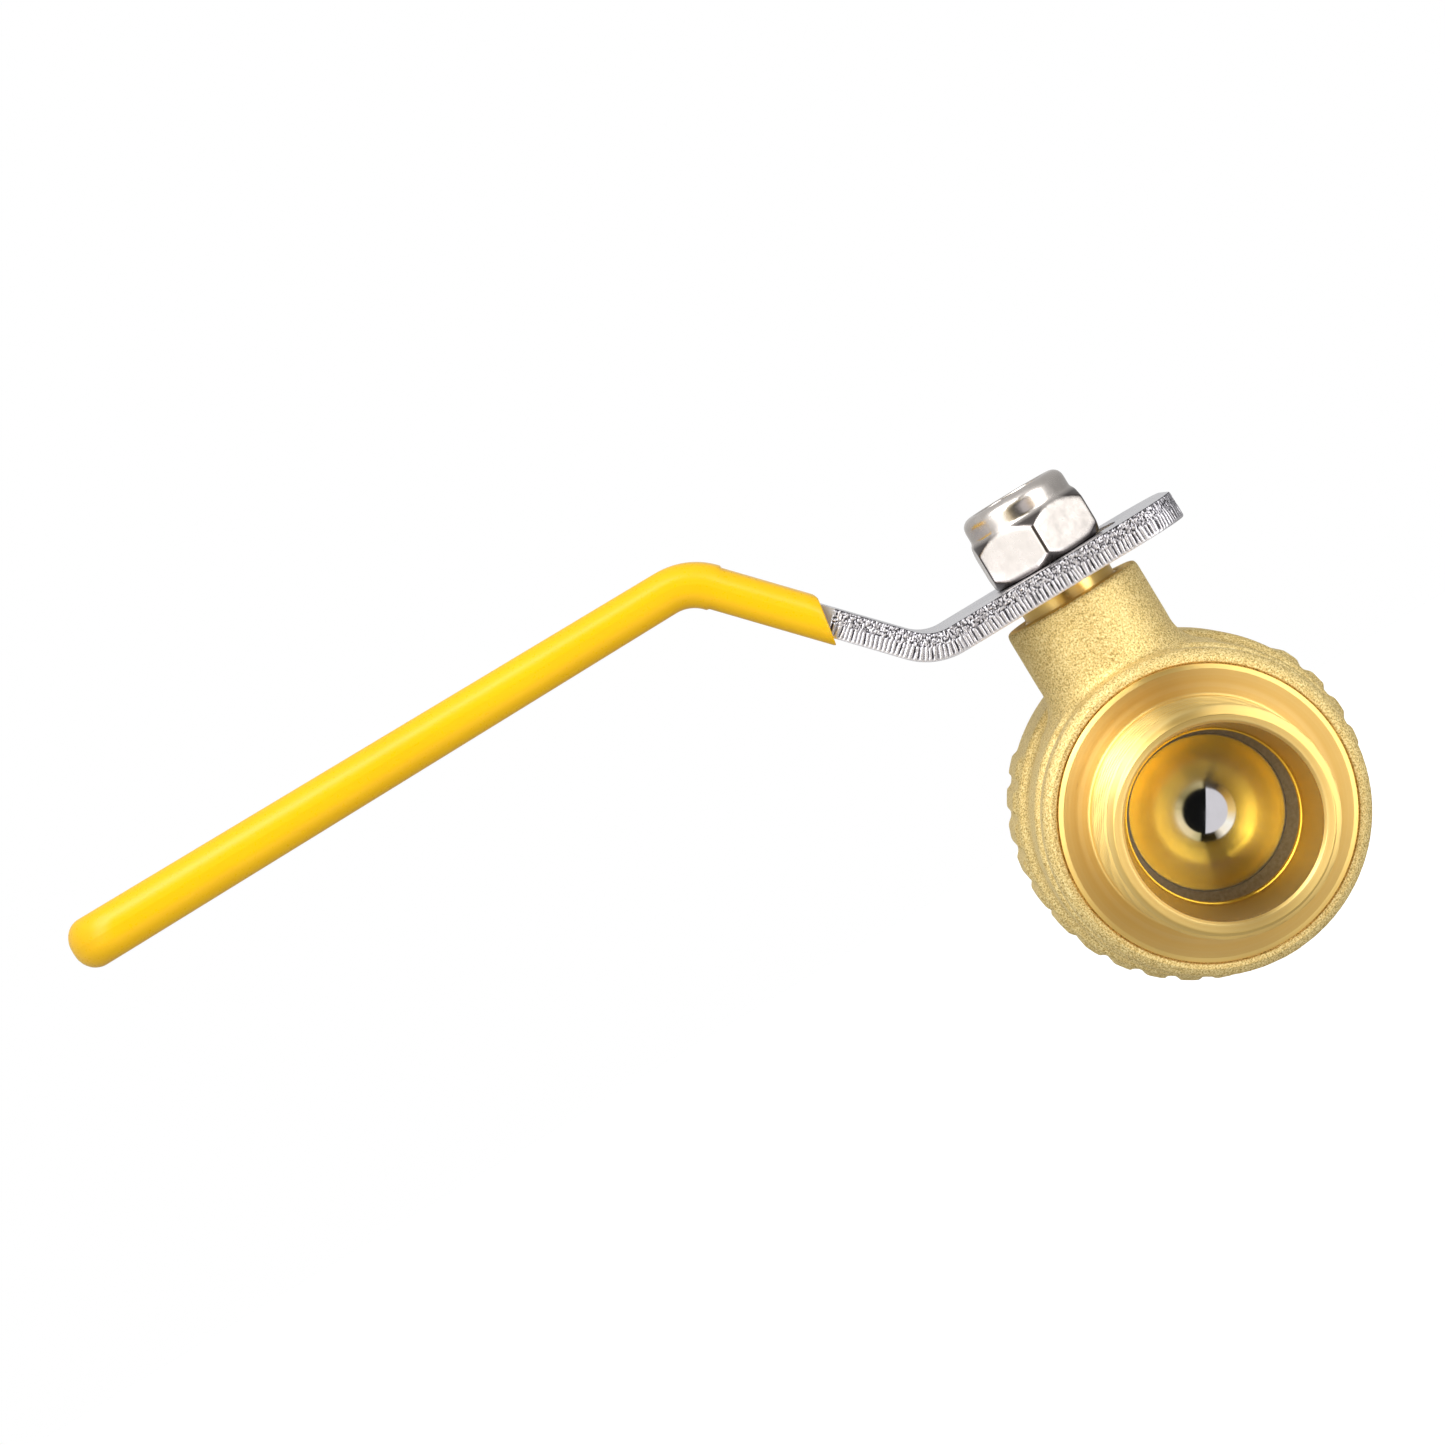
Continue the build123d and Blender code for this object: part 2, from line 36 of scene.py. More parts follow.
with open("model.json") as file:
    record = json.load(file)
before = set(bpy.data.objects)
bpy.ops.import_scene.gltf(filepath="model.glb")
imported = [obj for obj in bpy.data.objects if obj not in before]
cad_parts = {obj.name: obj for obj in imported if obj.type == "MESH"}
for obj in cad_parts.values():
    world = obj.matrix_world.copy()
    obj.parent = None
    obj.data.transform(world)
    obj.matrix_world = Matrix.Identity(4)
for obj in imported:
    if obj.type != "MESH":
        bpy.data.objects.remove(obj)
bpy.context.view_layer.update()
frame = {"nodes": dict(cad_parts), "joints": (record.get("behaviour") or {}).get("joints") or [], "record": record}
MM = 0.001

# ------------------------------------------------------------------ places, from the frame


def mount(name):
    """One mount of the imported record, by its name."""
    return next(m for m in frame["record"]["mounts"] if m["name"] == name)


CAP_LOW, CAP_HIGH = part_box("end_cap")
BODY_LOW, BODY_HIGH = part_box("valve_body")
LEVER_LOW, LEVER_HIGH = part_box("lever")
SLEEVE_LOW, SLEEVE_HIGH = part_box("lever_sleeve")
BALL_LOW, BALL_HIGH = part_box("ball")
NUT_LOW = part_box("lock_nut")[0]
STEM_Y = frame["joints"][0]["pos_m"][1]
MALE_R = mount("inlet_thread")["dims"]["r_mm"] * MM
FEMALE_R = mount("outlet_thread")["dims"]["r_mm"] * MM
OUTLET_Y = BODY_HIGH.y

# ------------------------------------------------------------------ named sizes, in metres

# Pipe threads: R 3/4 outside, Rp 3/4 inside
THREAD_PITCH = 25.4 / 14 * MM
THREAD_DEPTH = 1.162 * MM
THREAD_TAPER = 1 / 32  # radius lost for each unit of length
THREAD_FLAT = 0.17  # share of the pitch that is flat at the crest, and at the root
THREAD_EASE = 0.35  # how round the flanks are, from 0 (straight) to 1
ROUND_STEPS = 288
ON_SURFACE = 0.05 * MM  # how near to a surface a place may be and count as on it
BY_SURFACE = 0.1 * MM

# Inlet end
MOUTH_R = 10.75 * MM
MOUTH_BREAK = 0.3 * MM  # width of the mouth's broken edge
MOUTH_BREAK_DEPTH = 0.35 * MM
FACE_R = 11.9 * MM
FACE_MARGIN = 0.2 * MM  # how far inside the face's edge the thread is let start
BEVEL_LENGTH = 1.3 * MM  # from the face back to the first crest
BEVEL_DROP = 0.15 * MM  # how far under the crests the bevel ends
THREAD_END_Y = -0.6 * MM
MALE_FADE = (0.5 * MM, 2.6 * MM)  # from the shoulder: where the thread starts, and is full
THREAD_SIDE = 0.09 * MM  # longest side of the outline along the thread
PLAIN_SIDE = 1.2 * MM  # and elsewhere
LIP_R = 9.5 * MM
LIP_Y = -4.5 * MM
LIP_BREAK = 0.25 * MM  # width of the lip's broken edge
LIP_BREAK_DEPTH = 0.12 * MM
FLANGE_R = CAP_HIGH.x
FLANGE_BACK = 1.0 * MM
FLANGE_BREAK = 0.55 * MM  # width of the shoulder's broken edge
FLANGE_BREAK_DEPTH = 0.24 * MM
CAP_THREAD_R = 16.1 * MM
LIP_BACK_Y = -3.5 * MM
UNDERCUT_R = 10.5 * MM
UNDERCUT_SLOPE = 3.0 * MM
SEAT_POCKET_R = 11.03 * MM
SEAT_FRONT_Y = 1.57 * MM
SEAT_SIDE_Y = 3.5 * MM
CAP_INSIDE_R = 13.8 * MM

# Outlet thread, a thin lining of the female end
LINING_LENGTH = 15.0 * MM
LINING_INSET = 0.95 * MM  # from the outlet face to the lining
LINING_OUTSIDE = 0.06 * MM  # how far its back lies inside the metal
LINING_INSIDE = 0.02 * MM  # how far its front stands off the metal
LINING_STEPS = 150
OUTLET_FADE = (0.9 * MM, 2.4 * MM)  # from the face: where the thread starts, and is full
OUTLET_RUN_OUT = 1.5 * MM
OUTLET_SHALLOW = 0.05 * MM  # how much less deep it is than a full thread

# Forged body
BODY_VOXEL = 0.36 * MM
BODY_SOFTENING = 4  # passes
SHELL_R = 17.6 * MM  # what is further out than this is the forged outside, or the neck
NECK_FOOT_Z = 18.5 * MM
NECK_R = 8.2 * MM
NECK_TOP_Z = 27.6 * MM
SEAM_HALF = 0.3 * MM
SEAM_HEIGHT = 0.07 * MM
SEAM_GRAIN = 0.8 * MM
OUTLET_FACE_DEPTH = 0.12 * MM
OUTLET_MOUTH_R = 14.6 * MM
OUTLET_MOUTH_Y = 26 * MM
RECESS_R = 16.85 * MM  # round the shoulder of the inlet end
RECESS_REACH_R = 17.2 * MM
RECESS_Y = (0.9 * MM, 8 * MM)
LIP_OVERLAP = 0.02 * MM  # how far the crisp lip stands in from the recess
LIP_WIDTH = 0.62 * MM
LIP_DEPTH = 1.1 * MM
LIP_ROUNDING = 0.1 * MM

# Ball
BALL_R = (BALL_HIGH.y - BALL_LOW.y) / 2
BALL_BORE_R = 7.8 * MM
BALL_RIM = 0.35 * MM  # width of the rounded rim of its bore
BALL_RIM_DEPTH = 0.3 * MM
BALL_RIM_EASE = 0.1 * MM
MIRROR_R = 2.6 * MM  # how far out from its axis the ball is a plain mirror
LAPPED_R = 6.0 * MM  # from here out its lapping rings are at their coarsest
MIRROR_ROUGHNESS = 0.04
LAPPED_ROUGHNESS = 0.22
SLOT_WIDTH = 4.1 * MM
SLOT_FLOOR = 10.2 * MM

# Lever strip
STRIP = 3.2 * MM
PLATE_Z = LEVER_LOW.z
TAIL_X = LEVER_HIGH.x
GRIP_Z = LEVER_HIGH.z - STRIP / 2
RISE_START_X = -16.75 * MM
RISE_END_X = -36.15 * MM
BEND_R = 6.5 * MM
BEND_STEPS = 16
HUB_HALF = (LEVER_HIGH.y - LEVER_LOW.y) / 2
HUB_END_X = -13.0 * MM
STRAP_HALF = 7.8 * MM
STRAP_START_X = -30.0 * MM
STRAP_STRETCH = 1.12  # length along the bent strip for each unit of X, up to the strap
TAIL_CORNER_R = 6.0 * MM
GRIP_START = 42.0 * MM  # from the stem axis to the straight grip
STRIP_END_GAP = 2.0 * MM  # how far the strip ends inside the sleeve
STEM_HOLE_R = 4.05 * MM
STEM_HOLE_FLAT = 3.05 * MM  # half the distance across its flats
WINDOW_INNER_R = 6.2 * MM
WINDOW_OUTER_R = 8.75 * MM
WINDOW_MARGIN = 2.15 * MM  # how far the window runs on past a quarter turn, at each end

# Sheared edge of the strip. A level is a share of the thickness, from the strip's underside. Its hollows get
# painted shade, darker where deeper, and its top edge a thin line of painted shade.
EDGE_LEVELS = 22
EDGE_SHOWN = 9.0 * MM  # how far past the first bend the cut edge is modelled
EDGE_SIDE = 0.075 * MM  # longest side of the outline there
COVERED_SIDE = 4.0 * MM  # and under the sleeve
HOLE_SIDE = 0.6 * MM
STRIP_MM = STRIP / MM
TORN_LEVELS = (0.54, 0.46)  # torn above the first, sheared smooth below the second
SCORE_PITCH = 0.50  # mm between scores
SCORE_DEPTH = 0.085  # mm
SCORE_LEVELS = (0.04, 0.12)  # where the scores start, and are full
TORN_LEAST = 0.02  # mm
TORN_DEPTH = 0.10  # mm more
ROLLED_LEVEL = 0.08  # how much of the thickness is rolled over at each face
ROLLED_DEPTH = 0.12 * MM
# a thin line of painted shade along the top edge, over the burr: where it starts and is full, and how dark
BURR_SHADE_LEVELS = (0.955, 0.98)
BURR_SHADE = 0.9

# Sleeve
SLEEVE_HALF = (SLEEVE_HIGH.y - SLEEVE_LOW.y) / 2
SLEEVE_CUT_X = SLEEVE_HIGH.x
SLEEVE_END_X = SLEEVE_LOW.x
SLEEVE_CUT_THICKNESS = 4.7 * MM
SLEEVE_BEND_THICKNESS = 5.1 * MM
SLEEVE_END_THICKNESS = 6.1 * MM
SLEEVE_CUT_LEAN = 1.0 * MM
SLEEVE_ROUNDING = 0.94  # how much of half the thickness its edges are rounded by
SLEEVE_CORNER_R = 7.0 * MM
SLEEVE_WALL = 0.72 * MM
SLEEVE_STRAIGHT_GAP = 0.5 * MM  # between the last ring cut aslant and the bend
SLEEVE_TIP_GAP = 0.0005 * MM
# The rounding of its cut edge: share of the way to the bend, and how far in
SLEEVE_CUT_ROUNDING = [(0.0, 0.16 * MM), (0.008, 0.05 * MM), (0.022, 0.0)]

# Lock nut. Painted shade on it: painted dark reflections on its corners and chamfers, and a painted shadow at its
# foot
NUT_VOXEL = 0.14 * MM
NUT_SOFTENING = 20  # passes
NUT_HEX_HEIGHT = 6.0 * MM
NUT_HEX_FADE = (0.3 * MM, -0.5 * MM)  # over the hexagon's top: where the painted shade ends, and is full
NUT_FOOT = (0.9 * MM, 0.3 * MM)  # over its underside: where the painted shadow at the foot ends, and is full
NUT_INSIDE_R = 5.0 * MM
NUT_CORNERS = (4.0, 13.0)  # degrees off a facet: where the painted dark reflection on the corners starts, and is full
NUT_ENDS = (12.0, 26.0)  # degrees of lean, as above
NUT_ENDS_OVER = (70.0, 50.0)  # and where that stops again, at the flat top and underside
NUT_FACET_LEAN = 60  # degrees: what leans more isn't a facet
NUT_ENDS_SHADE = 0.55

# Camera, at the photograph's angle
CAMERA_AT = Vector((-29.14, -443.77, 52.88)) * MM
CAMERA_YAW = math.radians(-1.51)
CAMERA_PITCH = math.radians(-2.10)
CAMERA_ROLL = math.radians(-31.31)
CAMERA_LENS = 99.9
SENSOR_WIDTH = 36.0
FLOOR_Z = -0.30

# Studio: what is seen at each angle off the lens axis, in degrees. Each pair is where one
# thing ends and the next starts.
LENS_AXIS = (0.018, -0.9995, -0.02)
LENS_EDGE = (21.6, 22.2)
CARD_EDGE = (33, 39)
SOFT_BOX_EDGE = (52, 62)
LENS_HALVES = (0.040, 0.046)  # how far to the right the lens disc turns from black to grey
LENS_BLACK = (0.006, 0.006, 0.006)
LENS_GREY = (0.66, 0.64, 0.67)
TENT_TOP = 10.0  # the brightest that the tent and soft boxes may be
TENT_COLOUR = (10.0, 9.95, 9.9)  # at its brightest

# Round the lens from the left (0) down and round to the left again (1): how bright the soft
# boxes and flags are, and the colours of the card inside them
SOFT_BOX_LIGHT = 5.0
FLAG_STOPS = [
    (0.00, 1.00),
    (0.083, 0.40),
    (0.167, 0.10),
    (0.236, 0.16),
    (0.264, 0.26),
    (0.333, 0.16),
    (0.417, 0.34),
    (0.50, 0.92),
    (0.64, 1.00),
    (0.739, 0.45),
    (0.756, 0.03),
    (0.84, 0.03),
    (0.90, 0.42),
    (0.95, 1.00),
]
CARD_STOPS = [
    (0.00, (0.75, 0.61, 0.31)),
    (0.08, (0.91, 0.75, 0.46)),
    (0.17, (0.83, 0.68, 0.38)),
    (0.23, (0.50, 0.43, 0.21)),
    (0.245, (0.012, 0.008, 0.002)),
    (0.32, (0.03, 0.02, 0.006)),
    (0.37, (1.0, 0.90, 0.72)),
    (0.43, (1.0, 0.97, 0.86)),
    (0.50, (0.87, 0.60, 0.22)),
    (0.58, (0.50, 0.29, 0.06)),
    (0.67, (0.05, 0.03, 0.01)),
    (0.74, (0.05, 0.035, 0.012)),
    (0.76, (0.50, 0.42, 0.22)),
    (0.84, (0.36, 0.29, 0.13)),
    (0.92, (0.28, 0.23, 0.10)),
    (0.97, (0.60, 0.49, 0.25)),
]

# Brass, where it is turned outside, bored inside and threaded. The bore's colours are darker: painted shade inside
# the bore.
TURNED_COLOURS = [(0.94, 0.64, 0.19), (0.97, 0.70, 0.25), (1.0, 0.77, 0.33)]
BORE_SHADED_COLOURS = [(0.58, 0.37, 0.035), (0.64, 0.41, 0.05), (0.70, 0.46, 0.07)]
TURNED_ROUGHNESS = (0.30, 0.40)
BORED_ROUGHNESS = (0.16, 0.24)
THREADED_ROUGHNESS = (0.33, 0.41)

# ------------------------------------------------------------------ mesh helpers


def linked(name, mesh):
    """An object of this mesh, in the scene."""
    piece = bpy.data.objects.new(name, mesh)
    bpy.context.scene.collection.objects.link(piece)
    return piece


def new_object(name, vertices, faces, smooth_angle=32.0):
    """A mesh object, smooth except across edges sharper than smooth_angle degrees."""
    mesh = bpy.data.meshes.new(name)
    mesh.from_pydata([tuple(v) for v in vertices], [], faces)
    mesh.validate()
    work = bmesh.new()
    work.from_mesh(mesh)
    bmesh.ops.recalc_face_normals(work, faces=work.faces)
    work.to_mesh(mesh)
    work.free()
    piece = linked(name, mesh)
    shade(piece, smooth_angle)
    return piece


def from_work(name, work):
    """An object of a working mesh, which is used up."""
    mesh = bpy.data.meshes.new(name)
    work.to_mesh(mesh)
    work.free()
    return linked(name, mesh)


def shade(piece, smooth_angle):
    """Smooth shading with sharp edges marked by angle."""
    mesh = piece.data
    mesh.shade_smooth()
    mesh.set_sharp_from_angle(angle=math.radians(smooth_angle))


def rounded(corners, radii, steps=5):
    """A closed outline with each corner rounded by its radius (0 keeps it sharp)."""
    points = []
    count = len(corners)
    for i, radius in enumerate(radii):
        corner = Vector(corners[i])
        before = Vector(corners[i - 1]) - corner
        after = Vector(corners[(i + 1) % count]) - corner
        if radius == 0:
            points.append(corner)
            continue
        turn = math.pi - before.angle(after)
        reach = min(radius * math.tan(turn / 2), before.length * 0.48, after.length * 0.48)
        start = corner + before.normalized() * reach
        end = corner + after.normalized() * reach
        for k in range(steps + 1):
            t = k / steps
            points.append(start * (1 - t) ** 2 + corner * 2 * t * (1 - t) + end * t * t)
    return points


def divided(outline, longest):
    """The closed outline with no side longer than the given length."""
    points = []
    for i, point in enumerate(outline):
        following = outline[(i + 1) % len(outline)]
        count = max(1, math.ceil((following - point).length / longest(point, following)))
        points += [point.lerp(following, k / count) for k in range(count)]
    return points


def turned(name, outline, reshape=None, steps=ROUND_STEPS):
    """A closed (radius, y) outline turned about the bore axis. reshape may change each radius."""
    rings = len(outline)
    vertices = []
    for i in range(steps):
        angle = 2 * math.pi * i / steps
        for radius, y in outline:
            r = reshape(radius, y, angle) if reshape else radius
            vertices.append((r * math.sin(angle), y, r * math.cos(angle)))
    faces = []
    for i in range(steps):
        near, far = i * rings, (i + 1) % steps * rings
        for j in range(rings):
            k = (j + 1) % rings
            faces.append((near + j, near + k, far + k, far + j))
    return new_object(name, vertices, faces)


def thread_wave(phase):
    """Depth of a rounded 55-degree thread, 0 at the crest and 1 at the root."""
    slope = abs(2 * (phase % 1.0) - 1)
    level = min(1.0, max(0.0, (slope - THREAD_FLAT) / (1 - 2 * THREAD_FLAT)))
    return level * level * (3 - 2 * level) * THREAD_EASE + level * (1 - THREAD_EASE)


def fade(value, start, end):
    """0 before start, 1 past end, straight between."""
    return min(1.0, max(0.0, (value - start) / (end - start)))


# ------------------------------------------------------------------ inlet end with its thread


def inlet_end():
    """The male end: tapered pipe thread, face with broken edges, bore, lip and shoulder."""
    face_y = CAP_LOW.y
    corners = [
        (MOUTH_R + MOUTH_BREAK, face_y),
        (FACE_R, face_y),
        (MALE_R - BEVEL_DROP, face_y + BEVEL_LENGTH),
        (MALE_R, THREAD_END_Y),
        (MALE_R, 0.0),
        (FLANGE_R - FLANGE_BREAK, 0.0),
        (FLANGE_R, FLANGE_BREAK_DEPTH),
        (FLANGE_R, FLANGE_BACK),
        (CAP_THREAD_R, FLANGE_BACK),
        (CAP_THREAD_R, CAP_HIGH.y),
        (CAP_INSIDE_R, CAP_HIGH.y),
        (CAP_INSIDE_R, SEAT_SIDE_Y),
        (SEAT_POCKET_R, SEAT_SIDE_Y),
        (SEAT_POCKET_R, SEAT_FRONT_Y),
        (UNDERCUT_R, SEAT_FRONT_Y),
        (UNDERCUT_R, LIP_BACK_Y + UNDERCUT_SLOPE),
        (LIP_R, LIP_BACK_Y),
        (LIP_R, LIP_Y),
        (LIP_R + LIP_BREAK, LIP_Y - LIP_BREAK_DEPTH),
        (MOUTH_R, face_y + MOUTH_BREAK_DEPTH),
    ]
    # the radius of each corner, in mm
    radii = [0.12, 0.25, 0.1, 0, 0.25, 0.08, 0.1, 0.1, 0, 0.2]
    radii += [0.1, 0, 0, 0, 0, 0.1, 0.1, 0.12, 0.5, 0.15]
    outline = rounded(corners, [r * MM for r in radii])

    def longest(a, b):
        in_front = max(a.y, b.y) < BY_SURFACE
        on_thread = min(a.x, b.x) > FACE_R - MM and max(a.x, b.x) < MALE_R + BY_SURFACE
        return THREAD_SIDE if in_front and on_thread else PLAIN_SIDE

    def threaded(radius, y, angle):
        outside = FACE_R - FACE_MARGIN < radius < MALE_R + ON_SURFACE
        if not outside or y >= -ON_SURFACE:
            return radius
        crest = MALE_R + y * THREAD_TAPER
        cut_in = fade(-y, *MALE_FADE)
        depth = THREAD_DEPTH * cut_in * thread_wave(y / THREAD_PITCH - angle / (2 * math.pi))
        return min(radius, crest - depth)

    piece = turned("inlet_end", divided(outline, longest), threaded)
    piece.data.materials.append(turned_brass())
    # the bore's brass: darker colours as painted shade, and its own roughness
    piece.data.materials.append(turned_brass("bore_shaded_brass", BORE_SHADED_COLOURS, BORED_ROUGHNESS))
    piece.data.materials.append(turned_brass("threaded_brass", roughness=THREADED_ROUGHNESS))
    for face in piece.data.polygons:
        x, y, z = face.center
        from_bore = math.hypot(x, z)
        # inside the bore: the darker brass, with painted shade
        if from_bore < MOUTH_R - ON_SURFACE and y < SEAT_FRONT_Y + BY_SURFACE:
            face.material_index = 1
        elif from_bore < MALE_R + BY_SURFACE and y < -ON_SURFACE:
            face.material_index = 2
    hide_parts("end_cap")
    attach(piece, "body")
    return piece


# ------------------------------------------------------------------ female thread


def outlet_thread():
    """The threaded lining of the female end, a thin tube with its crests inward."""
    start = OUTLET_Y - LINING_LENGTH
    end = OUTLET_Y - LINING_INSET
    back_r = FEMALE_R + LINING_OUTSIDE
    front_r = FEMALE_R - LINING_INSIDE
    places = [start + (end - start) * k / LINING_STEPS for k in range(LINING_STEPS + 1)]
    inner = [Vector((front_r, y)) for y in places]
    outer = [Vector((back_r, end)), Vector((back_r, start))]

    def threaded(radius, y, angle):
        if radius > FEMALE_R:
            return radius
        cut_in = fade(OUTLET_Y - y, *OUTLET_FADE) * fade(y, start, start + OUTLET_RUN_OUT)
        height = 1 - thread_wave(y / THREAD_PITCH - angle / (2 * math.pi))
        return radius - (THREAD_DEPTH - OUTLET_SHALLOW) * height * cut_in

    piece = turned("outlet_thread", inner + outer, threaded, steps=192)
    piece.data.materials.append(turned_brass())
    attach(piece, "body")
    return piece


# ------------------------------------------------------------------ ball


def mirror_ball():
    """The bored ball as a fine mesh turned about its own bore, with the slot cut in its top."""
    rim_angle = math.asin((BALL_BORE_R + BALL_RIM) / BALL_R)
    arc_steps = 160
    outline = []
    for k in range(arc_steps + 1):
        a = rim_angle + (math.pi - 2 * rim_angle) * k / arc_steps
        outline.append((BALL_R * math.sin(a), -BALL_R * math.cos(a)))
    bore_end = BALL_R * math.cos(rim_angle) - BALL_RIM_DEPTH
    eased_r = BALL_BORE_R + BALL_RIM_EASE
    outline += [(eased_r, bore_end + BALL_RIM_EASE), (BALL_BORE_R, bore_end - 2 * BALL_RIM_EASE)]
    outline += [(BALL_BORE_R, -bore_end + 2 * BALL_RIM_EASE), (eased_r, -bore_end - BALL_RIM_EASE)]
    piece = turned("mirror_ball", outline, steps=240)
    piece.data.transform(Matrix.Rotation(-math.pi / 2, 4, "Z"))
    piece.data.transform(Matrix.Translation((0, STEM_Y, 0)))
    cutter = block("slot_cutter", (SLOT_WIDTH, 3 * BALL_R, 2 * (BALL_R - SLOT_FLOOR)))
    cutter.data.transform(Matrix.Translation((0, STEM_Y, BALL_R)))
    cut(piece, cutter)
    shade(piece, smooth_angle=25.0)
    piece.data.materials.append(chrome())
    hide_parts("ball")
    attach(piece, "ball")
    return piece


def block(name, size):
    """A box about the origin, for cutting."""
    work = bmesh.new()
    bmesh.ops.create_cube(work, size=1.0)
    bmesh.ops.scale(work, vec=size, verts=work.verts)
    return from_work(name, work)


def cut(piece, cutter):
    """Takes the cutter out of the piece and removes the cutter."""
    step = piece.modifiers.new("cut", "BOOLEAN")
    step.operation = "DIFFERENCE"
    step.solver = "EXACT"
    step.object = cutter
    apply_modifiers(piece)
    bpy.data.objects.remove(cutter)


def apply_modifiers(piece):
    """Replaces the piece's mesh by what its modifiers make of it."""
    graph = bpy.context.evaluated_depsgraph_get()
    mesh = bpy.data.meshes.new_from_object(piece.evaluated_get(graph))
    piece.modifiers.clear()
    piece.data = mesh


# ------------------------------------------------------------------ the lever's bent line


class BentLine:
    """The strip's middle line: plate, bend, rise, bend, grip. It turns lengths into places."""

    def __init__(self):
        middle = PLATE_Z + STRIP / 2
        self.rise = math.atan2(GRIP_Z - middle, RISE_START_X - RISE_END_X)
        self.tangent = BEND_R * math.tan(self.rise / 2)
        self.arc = BEND_R * self.rise
        run = math.hypot(GRIP_Z - middle, RISE_START_X - RISE_END_X)
        self.plate = TAIL_X - RISE_START_X - self.tangent
        self.slope = run - 2 * self.tangent
        self.marks = [self.plate, self.plate + self.arc]
        self.marks.append(self.marks[1] + self.slope)
        self.marks.append(self.marks[2] + self.arc)
        self.middle = middle

    def at(self, s, up):
        """The (x, z) place at length s from the tail, this far above the middle line."""
        x, z = TAIL_X, self.middle
        bend_in, bend_out, bend2_in, bend2_out = self.marks
        if s <= bend_in:
            return x - s, z + up
        x -= self.plate
        if s <= bend_out:
            a = (s - bend_in) / BEND_R
            centre = (x, z + BEND_R)
            return centre[0] - (BEND_R - up) * math.sin(a), centre[1] - (BEND_R - up) * math.cos(a)
        x -= BEND_R * math.sin(self.rise)
        z += BEND_R * (1 - math.cos(self.rise))
        along = min(s, bend2_in) - bend_out
        x -= along * math.cos(self.rise)
        z += along * math.sin(self.rise)
        normal = (math.sin(self.rise), math.cos(self.rise))
        if s <= bend2_in:
            return x + up * normal[0], z + up * normal[1]
        centre = (x - BEND_R * normal[0], z - BEND_R * normal[1])
        a = self.rise - min(s - bend2_in, self.arc) / BEND_R
        reach = BEND_R + up
        x, z = centre[0] + reach * math.sin(a), centre[1] + reach * math.cos(a)
        return x - max(0.0, s - bend2_out), z


def arc_points(centre, radius, start, end, steps):
    """Points on an arc, from one angle to another."""
    points = []
    for k in range(steps + 1):
        a = start + (end - start) * k / steps
        points.append(Vector((centre[0] + radius * math.cos(a), centre[1] + radius * math.sin(a))))
    return points


def strip_outline(line):
    """The strip's flat outline, as length from the tail and distance from the middle."""
    corner = TAIL_CORNER_R
    hub_end = TAIL_X - HUB_END_X
    strap_start = hub_end + STRAP_STRETCH * (HUB_END_X - STRAP_START_X)
    end = line.marks[3] + (-SLEEVE_END_X - GRIP_START) - STRIP_END_GAP
    half = arc_points((corner, HUB_HALF - corner), corner, math.pi, math.pi / 2, steps=10)
    half += [Vector((hub_end, HUB_HALF)), Vector((strap_start, STRAP_HALF))]
    half.append(Vector((end, STRAP_HALF)))
    other = [Vector((p.x, -p.y)) for p in reversed(half)]
    return half + other


def stem_hole():
    """The double-D hole, about the stem axis."""
    reach = math.asin(STEM_HOLE_FLAT / STEM_HOLE_R)
    right = arc_points((TAIL_X, 0), STEM_HOLE_R, -reach, reach, steps=12)
    left = arc_points((TAIL_X, 0), STEM_HOLE_R, math.pi - reach, math.pi + reach, steps=12)
    return right + left


def lug_window():
    """The curved window for the stop lug, between +Y and the tail."""
    reach = math.asin(WINDOW_MARGIN / WINDOW_INNER_R)
    start, end = math.pi / 2 - reach, math.pi + reach
    far = arc_points((TAIL_X, 0), WINDOW_OUTER_R, start, end, steps=40)
    near = arc_points((TAIL_X, 0), WINDOW_INNER_R, end, start, steps=30)
    return far + near


def sheared(along, level):
    """The cut edge at this length and level (0 to 1): how far in it is (m), and how much painted shade it gets,
    more where it is deeper.

    Its lower half is sheared smooth, with scores across it, and its upper half is torn.
    """
    x = along / MM
    smooth_band = fade(level, *TORN_LEVELS)
    wander = noise.noise(Vector((x * 0.7, 7.0, level * 0.5)))
    ridge = 0.5 - 0.5 * math.sin(2 * math.pi * (x / SCORE_PITCH + 0.8 * wander))
    patch = 0.75 + 0.5 * noise.noise(Vector((x * 1.9, level * 1.3, 3.0)))
    score = min(1.0, max(0.0, (ridge - 0.28) * 2.4)) * patch
    speck = noise.noise(Vector((x * 4.3, level * STRIP_MM * 4.3, 1.0)))
    speck += 0.6 * noise.noise(Vector((x * 9.1, level * STRIP_MM * 7.0, 5.0)))
    torn = min(1.0, max(0.0, 0.48 + 1.5 * speck))
    score *= fade(level, *SCORE_LEVELS)
    depth = smooth_band * score * SCORE_DEPTH
    depth += (1 - smooth_band) * (TORN_LEAST + torn * TORN_DEPTH)
    # the second value is painted shade, darker in the deeper scores and torn hollows
    return depth * MM, smooth_band * score + (1 - smooth_band) * torn


